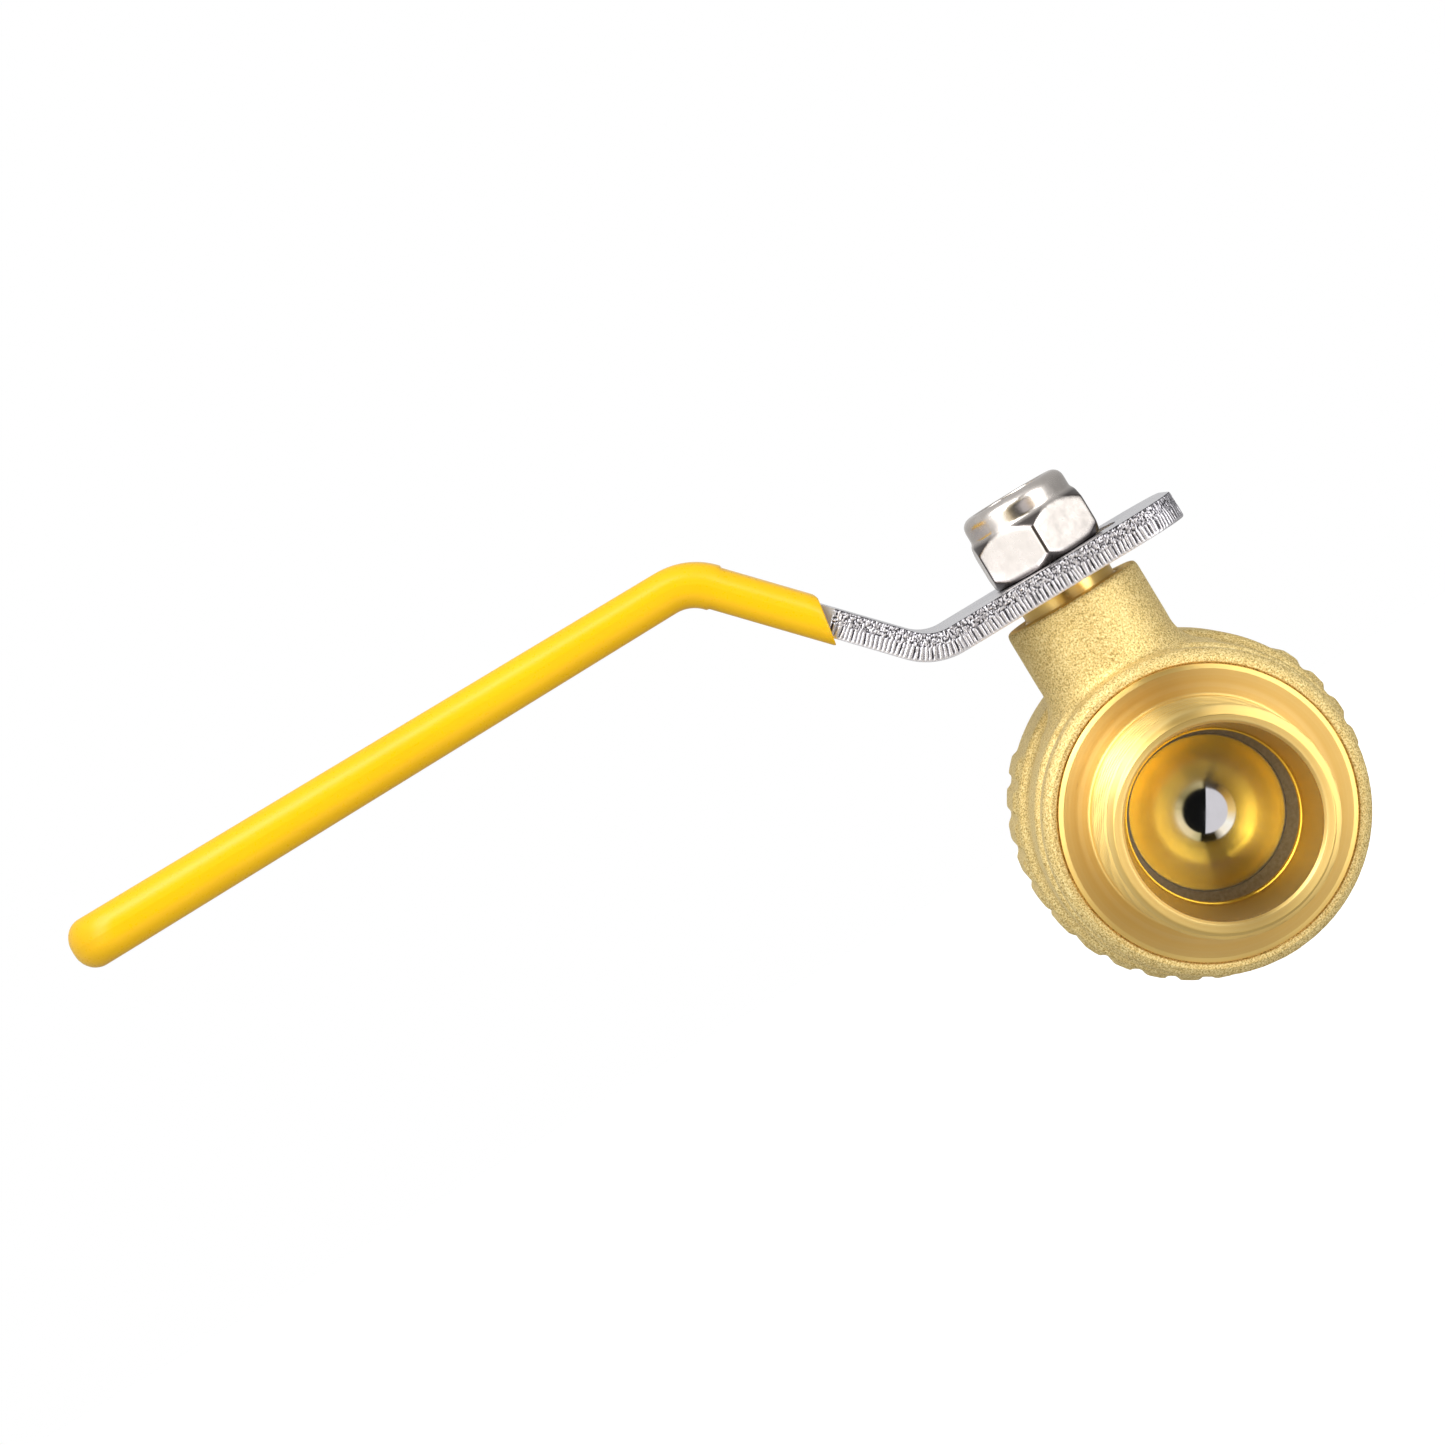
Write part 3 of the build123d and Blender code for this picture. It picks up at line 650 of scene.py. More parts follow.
def rim_ring(work, shade_layer, rim, level, textured_to):
    """One ring of vertices round a rim of the flat strip.

    Up to the length textured_to, it is pushed in as the sheared edge is, and given the edge's painted shade.
    """
    count = len(rim)
    along = 0.0
    ring = []
    for i, point in enumerate(rim):
        place = point.copy()
        painted_shade = 0.0
        if point.x < textured_to:
            before, after = rim[i - 1], rim[(i + 1) % count]
            inward = Vector((after.y - before.y, before.x - after.x)).normalized()
            near_face = max(0.0, 1 - min(level, 1 - level) / ROLLED_LEVEL) ** 2
            depth, painted_shade = sheared(along, level)
            flush = 0.0 if level in (0.0, 1.0) else 1.0
            place += inward * (depth * flush + near_face * ROLLED_DEPTH)
            painted_shade = max(painted_shade * flush, BURR_SHADE * fade(level, *BURR_SHADE_LEVELS))
        vert = work.verts.new((place.x, place.y, (level - 0.5) * STRIP))
        vert[shade_layer] = painted_shade
        ring.append(vert)
        along += (rim[(i + 1) % count] - point).length
    return ring


def closed_by(work, rings):
    """Fills the flat face between an outer ring and the rings of its holes."""
    edges = []
    for ring in rings:
        for i, vert in enumerate(ring):
            edges.append(work.edges.get((vert, ring[(i + 1) % len(ring)])))
    bmesh.ops.triangle_fill(work, edges=edges, use_beauty=True, use_dissolve=False)


def lever_strip():
    """The sheared and bent steel strip, with scores and torn grain in its cut edges."""
    line = BentLine()
    shown = line.marks[1] + EDGE_SHOWN

    def longest(a, b):
        return EDGE_SIDE if min(a.x, b.x) < shown else COVERED_SIDE

    def in_hole(a, b):
        return HOLE_SIDE

    work = bmesh.new()
    # the painted shade of the cut edge, one value for each vertex
    shade_layer = work.verts.layers.float.new("painted_shade")
    outer = divided(strip_outline(line), longest)
    rims = [outer, divided(stem_hole(), in_hole), divided(lug_window(), in_hole)]
    levels = [k / EDGE_LEVELS for k in range(EDGE_LEVELS + 1)]
    bottoms, tops = [], []
    for rim in rims:
        edge_rim = rim is outer
        textured_to = shown if edge_rim else 0.0
        rings = [rim_ring(work, shade_layer, rim, level, textured_to) for level in levels]
        for low, high in zip(rings, rings[1:]):
            for i in range(len(rim)):
                k = (i + 1) % len(rim)
                face = work.faces.new((low[i], low[k], high[k], high[i]))
                face.material_index = 1 if edge_rim else 0
        bottoms.append(rings[0])
        tops.append(rings[-1])
    closed_by(work, bottoms)
    closed_by(work, tops)
    for first, last in (line.marks[:2], line.marks[2:]):
        for k in range(BEND_STEPS + 1):
            where = (first + (last - first) * k / BEND_STEPS, 0, 0)
            every = work.verts[:] + work.edges[:] + work.faces[:]
            bmesh.ops.bisect_plane(work, geom=every, dist=1e-8, plane_co=where, plane_no=(1, 0, 0))
    for vert in work.verts:
        x, z = line.at(vert.co.x, vert.co.z)
        vert.co = Vector((x, STEM_Y + vert.co.y, z))
    bmesh.ops.recalc_face_normals(work, faces=work.faces)
    piece = from_work("lever_strip", work)
    shade(piece, smooth_angle=40.0)
    piece.data.materials.append(zinc_steel())
    piece.data.materials.append(sheared_steel())
    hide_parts("lever")
    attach(piece, "handle")
    return piece


# ------------------------------------------------------------------ sleeve


def section_point(angle, half_wide, half_high, edge):
    """A point of a rounded rectangle, by the angle round it."""
    wide, high = half_wide - edge, half_high - edge
    c, s = math.cos(angle), math.sin(angle)
    return Vector((math.copysign(wide, c) + edge * c, math.copysign(high, s) + edge * s))


def section_angles():
    """Angles that put points where the section is round."""
    quarter = [math.pi / 2 * k / 9 for k in range(10)]
    return [math.pi / 2 * q + a for q in range(4) for a in quarter]


def yellow_sleeve():
    """The dipped sleeve: a skin over the strip, thicker and fully rounded at its free end."""
    line = BentLine()
    bend_in, bend_out = line.marks[2], line.marks[3]
    straight = bend_in - SLEEVE_STRAIGHT_GAP
    end_s = bend_out + (line.at(bend_out, 0)[0] - SLEEVE_END_X)
    round_start = end_s - SLEEVE_CORNER_R
    angles = section_angles()
    first_cut = line.marks[1] + (line.at(line.marks[1], 0)[0] - SLEEVE_CUT_X) / math.cos(line.rise)

    def half_height(s):
        """Half the sleeve's thickness at this length."""
        to_bend = fade(s, first_cut, bend_in)
        to_end = fade(s, bend_out, end_s)
        growth = (SLEEVE_BEND_THICKNESS - SLEEVE_CUT_THICKNESS) * to_bend
        growth += (SLEEVE_END_THICKNESS - SLEEVE_BEND_THICKNESS) * to_end
        return (SLEEVE_CUT_THICKNESS + growth) / 2

    def cut_length(up):
        """Where the leaning cut meets the slope at this height above the middle line."""
        lean = SLEEVE_CUT_LEAN * (0.5 - up / SLEEVE_CUT_THICKNESS)
        start = line.at(line.marks[1], up)[0]
        return line.marks[1] + (start - SLEEVE_CUT_X + lean) / math.cos(line.rise)

    def ring(kind, value, shrink=0.0):
        """One ring: at a length along the grip, or a share of the way from the cut."""
        s = value if kind == "path" else first_cut
        left = end_s - s
        half_wide = SLEEVE_HALF - shrink
        half_high = half_height(s)
        if left < SLEEVE_CORNER_R:
            short = SLEEVE_CORNER_R - left
            half_wide -= SLEEVE_CORNER_R - math.sqrt(max(0.0, SLEEVE_CORNER_R**2 - short**2))
        if left < half_high:
            half_high = math.sqrt(max(1e-10, half_high**2 - (half_high - left) ** 2))
        half_high -= shrink
        edge = half_high * SLEEVE_ROUNDING
        points = []
        for angle in angles:
            p = section_point(angle, half_wide, half_high, edge)
            along = s
            if kind == "cut":
                first = cut_length(p.y)
                along = first + (straight - first) * value
            x, z = line.at(along, p.y)
            points.append((x, STEM_Y + p.x, z))
        return points

    rings = [ring("cut", share, SLEEVE_WALL) for share in (0.5, 0.0)]
    rings += [ring("cut", share, shrink) for share, shrink in SLEEVE_CUT_ROUNDING]
    rings += [ring("cut", k / 8) for k in range(1, 9)]
    stations = [straight + (bend_out + MM - straight) * k / 24 for k in range(1, 25)]
    stations += [bend_out + MM + (round_start - bend_out - MM) * k / 40 for k in range(1, 41)]
    stations += [end_s - SLEEVE_CORNER_R * math.cos(math.pi / 2 * k / 40) for k in range(1, 40)]
    rings += [ring("path", s) for s in stations]
    rings.append(ring("path", end_s - SLEEVE_TIP_GAP))
    count = len(angles)
    vertices = [p for r in rings for p in r]
    faces = [tuple(range(count)), tuple(reversed(range(len(vertices) - count, len(vertices))))]
    for a in range(len(rings) - 1):
        for i in range(count):
            k = (i + 1) % count
            faces.append((a * count + i, a * count + k, (a + 1) * count + k, (a + 1) * count + i))
    piece = new_object("yellow_sleeve", vertices, faces, smooth_angle=55.0)
    piece.data.materials.append(yellow_vinyl())
    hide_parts("lever_sleeve")
    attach(piece, "handle")
    return piece


# ------------------------------------------------------------------ forged body and nut


def softened(name, node, voxel, passes):
    """A copy of a CAD node with even small faces and softened edges."""
    mesh = frame["nodes"][node].data.copy()
    mesh.materials.clear()
    piece = linked(name, mesh)
    even = piece.modifiers.new("even", "REMESH")
    even.mode = "VOXEL"
    even.voxel_size = voxel
    soft = piece.modifiers.new("soft", "SMOOTH")
    soft.factor = 0.5
    soft.iterations = passes
    apply_modifiers(piece)
    piece.data.shade_smooth()
    return piece


def forged_body():
    """The forged shell: soft edges, the faint seam of the dies, and machined openings."""
    piece = softened("forged_body", "valve_body", BODY_VOXEL, BODY_SOFTENING)
    mesh = piece.data
    for vert in mesh.vertices:
        x, y, z = vert.co
        from_bore = math.hypot(x, z)
        from_stem = math.hypot(x, y - STEM_Y)
        outside = from_bore > SHELL_R and (z < NECK_FOOT_Z or from_stem > NECK_R)
        if outside and abs(x) < SEAM_HALF and z > 0:
            rough = 0.5 + 0.5 * noise.noise(Vector((y, z, 0)) / SEAM_GRAIN)
            vert.co += vert.normal * SEAM_HEIGHT * rough
    mesh.materials.append(cast_brass())
    mesh.materials.append(turned_brass())
    for face in mesh.polygons:
        x, y, z = face.center
        from_bore = math.hypot(x, z)
        outlet_face = y > OUTLET_Y - OUTLET_FACE_DEPTH
        mouth = from_bore < OUTLET_MOUTH_R and y > OUTLET_MOUTH_Y
        recess = from_bore < RECESS_REACH_R and RECESS_Y[0] < y < RECESS_Y[1]
        neck_top = z > NECK_TOP_Z and face.normal.z > 0.8
        face.material_index = 1 if outlet_face or mouth or recess or neck_top else 0
    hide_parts("valve_body")
    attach(piece, "body")
    return piece


def front_lip():
    """The crisp inner edge of the forged shell round the inlet end's shoulder."""
    inner, outer = RECESS_R - LIP_OVERLAP, RECESS_R + LIP_WIDTH
    front, back = BODY_LOW.y, BODY_LOW.y + LIP_DEPTH
    corners = [(inner, front), (outer, front), (outer, back), (inner, back)]
    outline = rounded(corners, [LIP_ROUNDING, LIP_ROUNDING, 0, 0])
    piece = turned("front_lip", outline)
    piece.data.materials.append(cast_brass())
    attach(piece, "body")
    return piece


def soft_nut():
    """The plated lock nut with its rounded facets and rolled collar. Its vertices carry painted shade: painted
    dark reflections at the corners and chamfers, and a painted shadow at its foot.
    """
    piece = softened("soft_nut", "lock_nut", NUT_VOXEL, NUT_SOFTENING)
    mesh = piece.data
    # painted shade, one value for each vertex
    painted_shade = mesh.attributes.new("painted_shade", "FLOAT", "POINT")
    low = NUT_LOW.z
    top = low + NUT_HEX_HEIGHT
    for vert, value in zip(mesh.vertices, painted_shade.data):
        x, y, z = vert.co
        off_flat = abs((math.degrees(math.atan2(vert.normal.y, vert.normal.x)) + 30) % 60 - 30)
        leaning = abs(math.degrees(math.asin(max(-1.0, min(1.0, vert.normal.z)))))
        # painted dark reflections at the corners and chamfers, and a painted shadow at the foot, faded out over
        # the hexagon's top
        between = fade(off_flat, *NUT_CORNERS) if leaning < NUT_FACET_LEAN else 0.0
        ends = NUT_ENDS_SHADE * fade(leaning, *NUT_ENDS) * fade(leaning, *NUT_ENDS_OVER)
        foot = fade(z, low + NUT_FOOT[0], low + NUT_FOOT[1])
        hexagon = fade(z, top + NUT_HEX_FADE[0], top + NUT_HEX_FADE[1])
        outside = math.hypot(x, y - STEM_Y) > NUT_INSIDE_R
        value.value = max(between, ends, foot) * hexagon if outside else 0.0
    piece.data.materials.append(nickel())
    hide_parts("lock_nut")
    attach(piece, "handle")
    return piece


# ------------------------------------------------------------------ node helpers


def material(name):
    """A new material, its node tree and its shader."""
    made = bpy.data.materials.new(name)
    made.use_nodes = True
    tree = made.node_tree
    return made, tree, tree.nodes["Principled BSDF"]


def feed(tree, node, **inputs):
    """Sets a node's inputs by name: a link where a socket is given, else a plain value."""
    for key, value in inputs.items():
        socket = node.inputs[key.replace("_", " ")]
        if isinstance(value, bpy.types.NodeSocket):
            tree.links.new(value, socket)
        else:
            socket.default_value = value


def add(tree, kind, **values):
    """A node with its properties and inputs set by name."""
    node = tree.nodes.new(kind)
    for key, value in values.items():
        if hasattr(node, key):
            setattr(node, key, value)
        else:
            feed(tree, node, **{key: value})
    return node


def object_place(tree):
    """The place on the object, in metres."""
    return add(tree, "ShaderNodeTexCoord").outputs["Object"]


def noise_at(tree, place, per_metre, detail=2.0, rough=0.5):
    """A noise of about this many cells to the metre, from 0 to 1."""
    sizes = {"Scale": per_metre, "Detail": detail, "Roughness": rough}
    return add(tree, "ShaderNodeTexNoise", Vector=place, **sizes).outputs["Fac"]


def ramp(tree, value, stops):
    """A colour ramp over a value."""
    node = add(tree, "ShaderNodeValToRGB", Fac=value)
    elements = node.color_ramp.elements
    while len(elements) < len(stops):
        elements.new(0.5)
    for element, (position, colour) in zip(elements, stops):
        element.position = position
        element.color = (*colour, 1.0)
    return node.outputs["Color"]


def remap(tree, value, low, high, new_low, new_high):
    """A value stretched from one range to another, and kept inside it."""
    node = tree.nodes.new("ShaderNodeMapRange")
    for i, number in enumerate((low, high, new_low, new_high)):
        node.inputs[i + 1].default_value = number
    tree.links.new(value, node.inputs[0])
    return node.outputs[0]


def maths(tree, operation, first, second=None):
    """The result of an operation on one or two sockets or plain numbers."""
    node = add(tree, "ShaderNodeMath", operation=operation)
    for socket, value in zip(node.inputs, (first, second)):
        if isinstance(value, bpy.types.NodeSocket):
            tree.links.new(value, socket)
        elif value is not None:
            socket.default_value = value
    return node.outputs["Value"]


def mixed(tree, share, first, second, blend_type="MIX"):
    """Two colours mixed. Each is a socket, or a tuple of three numbers."""
    mix = add(tree, "ShaderNodeMix", data_type="RGBA", blend_type=blend_type, Factor=share)
    for name, value in (("A", first), ("B", second)):
        feed(tree, mix, **{name: (*value, 1.0) if isinstance(value, tuple) else value})
    return mix.outputs["Result"]


def bump(tree, height, strength, distance, before=None):
    """A bump from a height, on top of another bump if one is given."""
    node = add(tree, "ShaderNodeBump", Strength=strength, Distance=distance, Height=height)
    if before:
        feed(tree, node, Normal=before)
    return node.outputs["Normal"]


def round_axis(tree, axis):
    """The distance out from the bore (axis Y) or the stem (axis Z), and the place along it."""
    split = add(tree, "ShaderNodeSeparateXYZ", Vector=object_place(tree))
    x, y, z = (split.outputs[name] for name in "XYZ")
    second, along = (z, y) if axis == "Y" else (maths(tree, "SUBTRACT", y, STEM_Y), z)
    flat = add(tree, "ShaderNodeCombineXYZ", X=x, Y=second).outputs["Vector"]
    length = add(tree, "ShaderNodeVectorMath", operation="LENGTH", Vector=flat)
    return length.outputs["Value"], along


def spread_across(tree, shader, amount, axis):
    """Spreads the reflections across the rings round an axis."""
    tangent = add(tree, "ShaderNodeTangent", direction_type="RADIAL", axis=axis)
    feed(tree, shader, Anisotropic=amount, Tangent=tangent.outputs["Tangent"])
    feed(tree, shader, Anisotropic_Rotation=0.25)


# ------------------------------------------------------------------ materials


def cast_brass():
    """Sand-blasted forged brass: pale, finely pitted, with a soft metal sheen."""
    made, tree, shader = material("cast_brass")
    place = object_place(tree)
    grain = noise_at(tree, place, 5200, 2.0, 0.6)
    cloud = noise_at(tree, place, 420, 2.0, 0.5)
    stops = [(0.34, (0.45, 0.31, 0.10)), (0.48, (0.81, 0.62, 0.25)), (0.64, (0.97, 0.85, 0.48))]
    tint = ramp(tree, cloud, [(0.3, (0.92, 0.91, 0.88)), (0.7, (1.0, 1.0, 1.0))])
    colour = mixed(tree, 0.5, ramp(tree, grain, stops), tint, "MULTIPLY")
    pits = bump(tree, grain, 0.7, 0.06 * MM)
    waves = bump(tree, cloud, 0.25, 0.25 * MM, pits)
    roughness = remap(tree, grain, 0.3, 0.7, 0.55, 0.72)
    feed(tree, shader, Base_Color=colour, Roughness=roughness, Normal=waves)
    feed(tree, shader, Metallic=0.8, Specular_IOR_Level=0.2)
    return made


def turned_brass(
    name="turned_brass", colours=TURNED_COLOURS, roughness=TURNED_ROUGHNESS, axis="Y"
):
    """Fine-turned brass: rings round an axis that spread the light across them."""
    made, tree, shader = material(name)
    out, along = round_axis(tree, axis)
    ring = add(tree, "ShaderNodeCombineXYZ", X=out, Y=along).outputs["Vector"]
    fine = noise_at(tree, ring, 9000, 2.0, 0.6)
    broad = noise_at(tree, ring, 1300, 2.0, 0.5)
    colour = ramp(tree, broad, list(zip((0.3, 0.55, 0.8), colours)))
    rings = bump(tree, fine, 0.4, 0.02 * MM)
    waves = bump(tree, broad, 0.2, 0.05 * MM, rings)
    uneven = remap(tree, broad, 0.3, 0.7, *roughness)
    feed(tree, shader, Base_Color=colour, Roughness=uneven, Normal=waves, Metallic=1.0)
    spread_across(tree, shader, 0.92, axis)
    return made


def chrome():
    """Hard chrome: a mirror at the ball's poles, with faint lapping rings further out."""
    made, tree, shader = material("polished_chrome")
    haze = noise_at(tree, object_place(tree), 900, 4.0, 0.6)
    colour = ramp(tree, haze, [(0.2, (0.90, 0.90, 0.90)), (0.8, (0.95, 0.95, 0.96))])
    out = round_axis(tree, "Y")[0]
    lapped = remap(tree, out, MIRROR_R, LAPPED_R, MIRROR_ROUGHNESS, LAPPED_ROUGHNESS)
    feed(tree, shader, Base_Color=colour, Roughness=lapped, Metallic=1.0)
    spread_across(tree, shader, 0.95, "Y")
    return made


def specked(name, per_metre, detail, rough, colours, roughness):
    """A dull moulded material with fine specks, between two colours and two roughnesses."""
    made, tree, shader = material(name)
    speck = noise_at(tree, object_place(tree), per_metre, detail, rough)
    colour = ramp(tree, speck, list(zip((0.3, 0.7), colours)))
    feed(tree, shader, Base_Color=colour, Roughness=remap(tree, speck, 0.3, 0.7, *roughness))
    return made


def zinc_steel():
    """Zinc-plated sheared strip: bluish grey, soft on its faces."""
    made, tree, shader = material("zinc_steel")
    place = object_place(tree)
    cloud = noise_at(tree, place, 350, 3.0, 0.6)
    grain = noise_at(tree, place, 5200, 2.0, 0.6)
    stops = [(0.25, (0.72, 0.72, 0.77)), (0.5, (0.80, 0.80, 0.84)), (0.75, (0.88, 0.88, 0.90))]
    roughness = remap(tree, grain, 0.3, 0.7, 0.22, 0.36)
    feed(tree, shader, Base_Color=ramp(tree, cloud, stops), Roughness=roughness, Metallic=1.0)
    feed(tree, shader, Normal=bump(tree, grain, 0.2, 0.02 * MM))
    return made


def nickel():
    """Nickel-plated nut: bright and faintly uneven, with the painted shade of its vertices mixed in."""
    made, tree, shader = material("nickel")
    place = object_place(tree)
    cloud = noise_at(tree, place, 600, 3.0, 0.6)
    grain = noise_at(tree, place, 4200, 2.0, 0.6)
    bright = ramp(tree, cloud, [(0.3, (0.70, 0.65, 0.61)), (0.7, (0.78, 0.73, 0.69))])
    painted_shade = add(tree, "ShaderNodeAttribute", attribute_name="painted_shade").outputs["Fac"]
    share = remap(tree, painted_shade, 0.15, 0.85, 0.0, 1.0)
    # near black, for the painted dark reflections and the painted shadow at the foot
    colour = mixed(tree, share, bright, (0.13, 0.115, 0.11))
    roughness = remap(tree, cloud, 0.3, 0.7, 0.22, 0.30)
    feed(tree, shader, Base_Color=colour, Roughness=roughness, Metallic=1.0)
    feed(tree, shader, Normal=bump(tree, grain, 0.12, 0.02 * MM))
    return made


def sheared_steel():
    """The plated cut edge: bright ridges, and painted shade in the hollows, darker as deep as the geometry says.
    """
    made, tree, shader = material("sheared_steel")
    painted_shade = add(tree, "ShaderNodeAttribute", attribute_name="painted_shade").outputs["Fac"]
    grain = noise_at(tree, object_place(tree), 6500, 2.0, 0.6)
    both = maths(tree, "ADD", painted_shade, remap(tree, grain, 0.3, 0.7, -0.14, 0.14))
    # from plated grey on the ridges to near black: painted shade in the hollows
    stops = [(0.12, (0.70, 0.69, 0.72)), (0.45, (0.42, 0.41, 0.45)), (0.85, (0.035, 0.034, 0.04))]
    roughness = remap(tree, grain, 0.3, 0.7, 0.3, 0.5)
    feed(tree, shader, Base_Color=ramp(tree, both, stops), Roughness=roughness, Metallic=0.85)
    return made


def yellow_vinyl():
    """Glossy yellow vinyl, a little uneven in colour, with a dipped surface."""
    made, tree, shader = material("yellow_vinyl")
    place = object_place(tree)
    cloud = noise_at(tree, place, 60, 2.0, 0.5)
    ripple = noise_at(tree, place, 260, 1.0, 0.4)
    pores = noise_at(tree, place, 2600, 2.0, 0.5)
    colour = ramp(tree, cloud, [(0.3, (0.79, 0.45, 0.001)), (0.7, (0.82, 0.48, 0.002))])
    waves = bump(tree, ripple, 0.10, 0.3 * MM)
    pitted = bump(tree, pores, 0.05, 0.03 * MM, waves)
    roughness = remap(tree, pores, 0.3, 0.7, 0.26, 0.36)
    feed(tree, shader, Base_Color=colour, Roughness=roughness, Normal=pitted)
    feed(tree, shader, Specular_IOR_Level=0.32, Subsurface_Weight=0.12)
    feed(tree, shader, Subsurface_Radius=(0.9, 0.5, 0.1), Subsurface_Scale=1.0 * MM)
    return made


def dress_cad_nodes():
    """Materials for the CAD nodes that are shown as they are."""
    brass = turned_brass("stem_brass", axis="Z")
    pale, paler = (0.78, 0.79, 0.80), (0.86, 0.87, 0.88)
    white = specked("white_plastic", 1500, 2.0, 0.5, (pale, paler), (0.4, 0.55))
    black, blackish = (0.012, 0.012, 0.012), (0.03, 0.03, 0.03)
    rubber = specked("black_rubber", 2500, 3.0, 0.6, (black, blackish), (0.5, 0.7))
    brown, greyish = (0.20, 0.175, 0.13), (0.31, 0.27, 0.21)
    seat = specked("filled_ptfe", 2400, 3.0, 0.6, (brown, greyish), (0.35, 0.5))
    looks = {"gland": brass, "stem": brass, "cap_seal": rubber}
    looks |= {"inlet_seat": seat, "outlet_seat": seat, "thrust_washer": white, "nut_insert": white}
    looks |= {"stem_oring_lower": rubber, "stem_oring_upper": rubber}
    looks |= {f"packing_ring_{place}": white for place in ("lower", "middle", "upper")}
    for node, made in looks.items():
        mesh = frame["nodes"][node].data
        mesh.materials.clear()
        mesh.materials.append(made)


# ------------------------------------------------------------------ studio


def studio_sky():
    """What the valve reflects: the lens, a warm card, soft boxes with flags, and a tent."""
    world = bpy.data.worlds.new("studio")
    bpy.context.scene.world = world
    world.use_nodes = True
    tree = world.node_tree
    place = add(tree, "ShaderNodeTexCoord").outputs["Generated"]

    def towards(direction):
        """How much of a ray goes this way, from -1 to 1."""
        dot = add(tree, "ShaderNodeVectorMath", operation="DOT_PRODUCT")
        tree.links.new(place, dot.inputs[0])
        dot.inputs[1].default_value = direction
        return dot.outputs["Value"]

    roll = -CAMERA_ROLL
    right = towards((math.cos(roll), 0, -math.sin(roll)))
    up = towards((math.sin(roll), 0, math.cos(roll)))
    front = towards((0, -1, 0))
    off_axis = maths(tree, "ARCCOSINE", towards(LENS_AXIS))
    around = remap(tree, maths(tree, "ARCTAN2", up, right), -math.pi, math.pi, 0.0, 1.0)

    def beyond(edge):
        """0 nearer the lens axis than the first angle, 1 further off than the second."""
        return remap(tree, off_axis, math.radians(edge[0]), math.radians(edge[1]), 0.0, 1.0)

    # a white tent, brightest in front, dimmer below and at the right
    level = remap(tree, up, -0.8, 0.6, 0.75, 1.08)
    level = maths(tree, "MULTIPLY", level, remap(tree, right, -0.5, 0.8, 1.10, 0.70))
    in_front = remap(tree, front, 0.0, 0.65, 0.50, 1.0)
    straight_behind = remap(tree, front, -0.95, -0.80, 0.70, 0.0)
    level = maths(tree, "MULTIPLY", level, maths(tree, "MAXIMUM", straight_behind, in_front))

    # the soft boxes and flags, between the card and the tent
    hung = ramp(tree, around, [(at, (value, value, value)) for at, value in FLAG_STOPS])
    boxes = maths(tree, "MULTIPLY", hung, SOFT_BOX_LIGHT)
    level = mixed(tree, beyond(SOFT_BOX_EDGE), boxes, level)
    share = remap(tree, level, 0.0, TENT_TOP, 0.0, 1.0)
    tent = mixed(tree, share, (0.0, 0.0, 0.0), TENT_COLOUR)

    # the warm card with its dark and bright sectors, and the lens disc inside it
    shown = mixed(tree, beyond(CARD_EDGE), ramp(tree, around, CARD_STOPS), tent)
    halves = remap(tree, right, *LENS_HALVES, 0.0, 1.0)
    lens = mixed(tree, halves, LENS_BLACK, LENS_GREY)
    shown = mixed(tree, beyond(LENS_EDGE), lens, shown)

    # the camera itself sees plain white
    is_camera = add(tree, "ShaderNodeLightPath").outputs["Is Camera Ray"]
    colour = mixed(tree, is_camera, shown, (1.0, 1.0, 1.0))
    feed(tree, tree.nodes["Background"], Color=colour, Strength=1.0)


def soft_light(name, at, size, power, aim):
    """A soft box of the given width and height, turned to face a place."""
    light = bpy.data.lights.new(name, "AREA")
    light.shape = "RECTANGLE"
    light.size, light.size_y = size
    light.energy = power
    box = bpy.data.objects.new(name, light)
    box.location = at
    box.rotation_mode = "QUATERNION"
    box.rotation_quaternion = (Vector(aim) - Vector(at)).to_track_quat("-Z", "Y")
    bpy.context.scene.collection.objects.link(box)


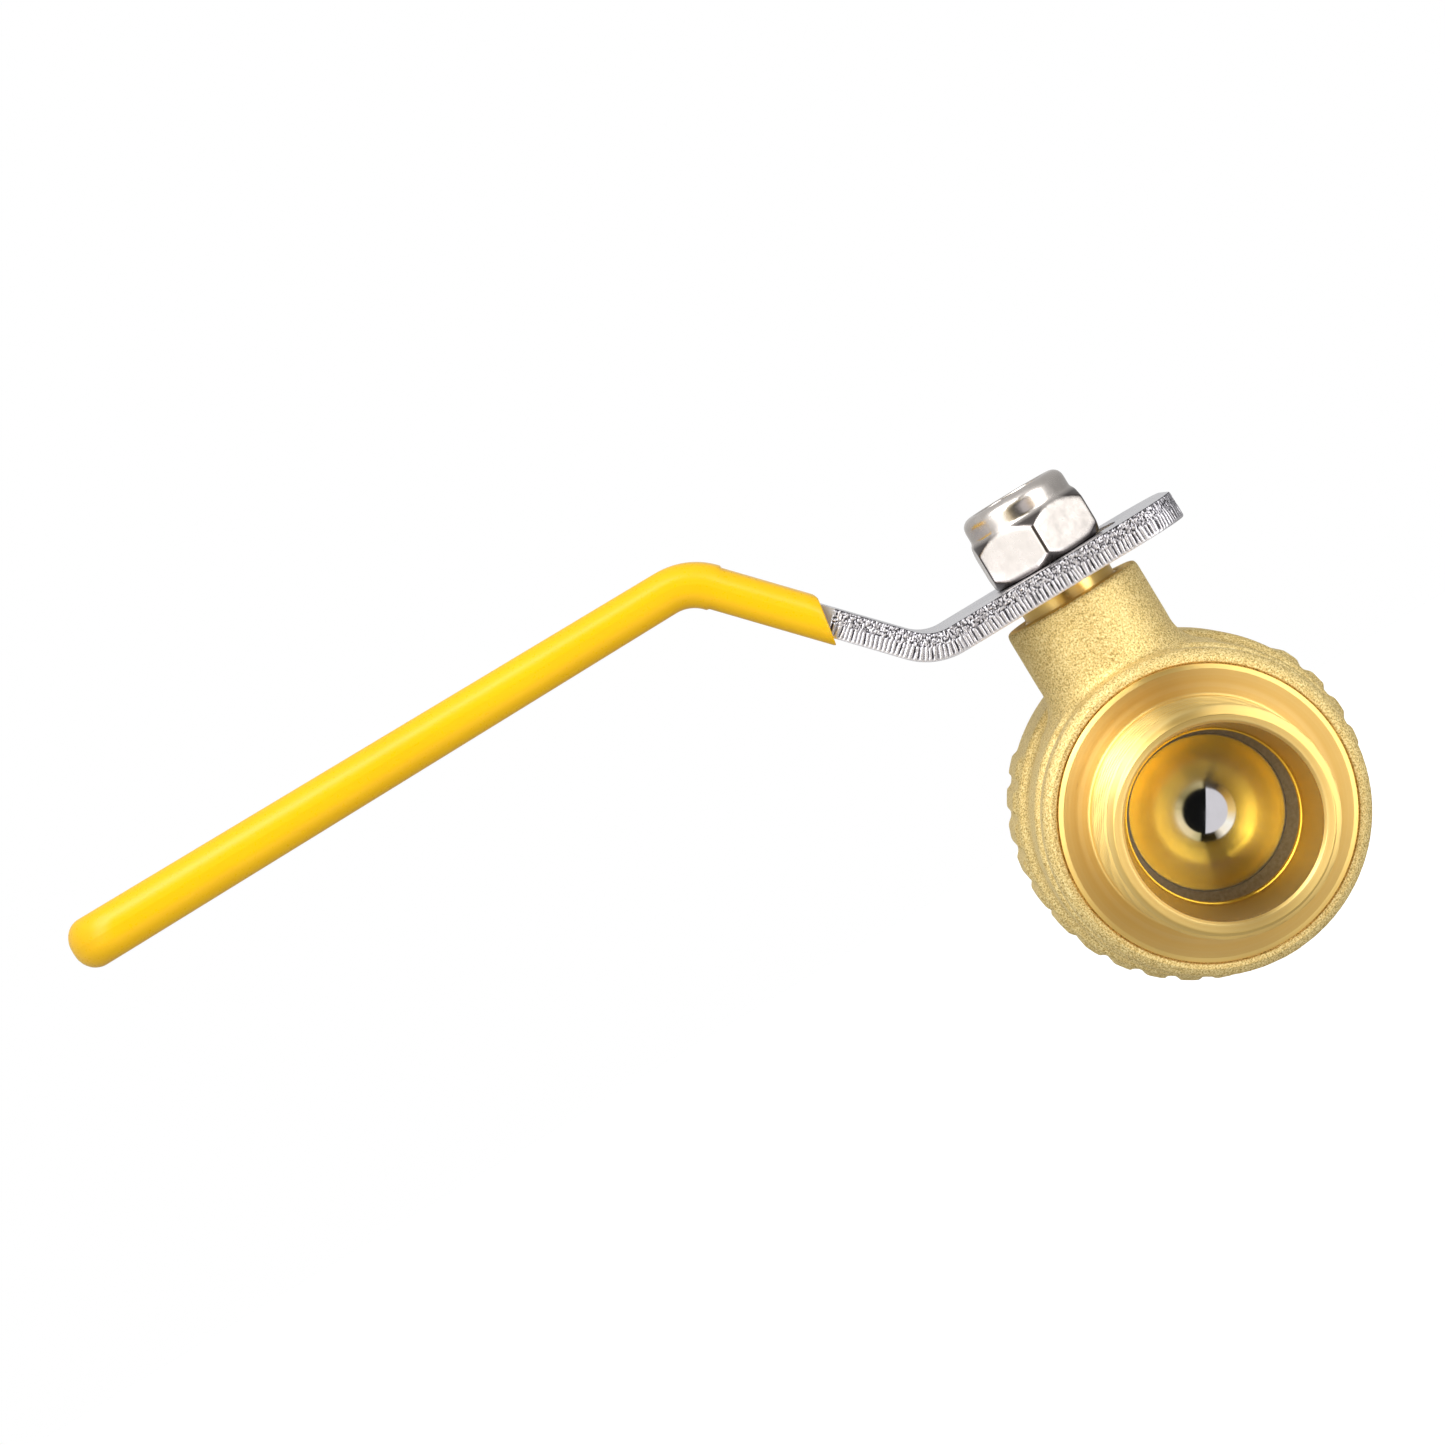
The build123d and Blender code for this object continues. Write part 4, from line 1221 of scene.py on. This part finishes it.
def floor():
    """A wide pale floor under the valve. It lights nothing, so it doesn't pale the brass."""
    half, near = 3.0, -0.3
    corners = [(-half, near), (half, near), (half, half), (-half, half)]
    vertices = [(x, y, FLOOR_Z) for x, y in corners]
    piece = new_object("floor", vertices, [(0, 1, 2, 3)])
    made, tree, shader = material("pale_floor")
    speck = noise_at(tree, object_place(tree), 40, 3.0, 0.5)
    colour = ramp(tree, speck, [(0.3, (0.93, 0.93, 0.93)), (0.7, (0.95, 0.95, 0.95))])
    feed(tree, shader, Base_Color=colour, Roughness=0.9)
    feed(tree, shader, Emission_Color=(1, 1, 1, 1), Emission_Strength=0.45)
    piece.data.materials.append(made)
    piece.visible_diffuse = False
    piece.visible_glossy = False


def camera():
    """The camera, at the photograph's place, turn and lens."""
    data = bpy.data.cameras.new("camera")
    data.lens = CAMERA_LENS
    data.sensor_width = SENSOR_WIDTH
    data.clip_start = 0.01
    data.clip_end = 20.0
    made = bpy.data.objects.new("camera", data)
    bpy.context.scene.collection.objects.link(made)
    flat = math.cos(CAMERA_PITCH)
    ahead = (math.sin(CAMERA_YAW) * flat, math.cos(CAMERA_YAW) * flat, math.sin(CAMERA_PITCH))
    forward = Vector(ahead)
    level = forward.cross(Vector((0, 0, 1))).normalized()
    upward = level.cross(forward)
    right = level * math.cos(CAMERA_ROLL) + upward * math.sin(CAMERA_ROLL)
    up = upward * math.cos(CAMERA_ROLL) - level * math.sin(CAMERA_ROLL)
    turn = Matrix((right, up, -forward)).transposed().to_4x4()
    made.matrix_world = Matrix.Translation(CAMERA_AT) @ turn
    bpy.context.scene.camera = made


bpy.context.scene.view_settings.view_transform = "Standard"
dress_cad_nodes()
forged_body()
front_lip()
soft_nut()
inlet_end()
outlet_thread()
mirror_ball()
lever_strip()
yellow_sleeve()
studio_sky()
floor()
camera()
soft_light("key", at=(-0.5, -0.5, 0.9), size=(0.6, 0.6), power=4.0, aim=(0, 0, 0))
soft_light(
    "grip_strip",
    at=(-0.075, -0.15, 0.225),
    size=(0.20, 0.05),
    power=0.16,
    aim=(-0.075, 0.012, 0.052),
)
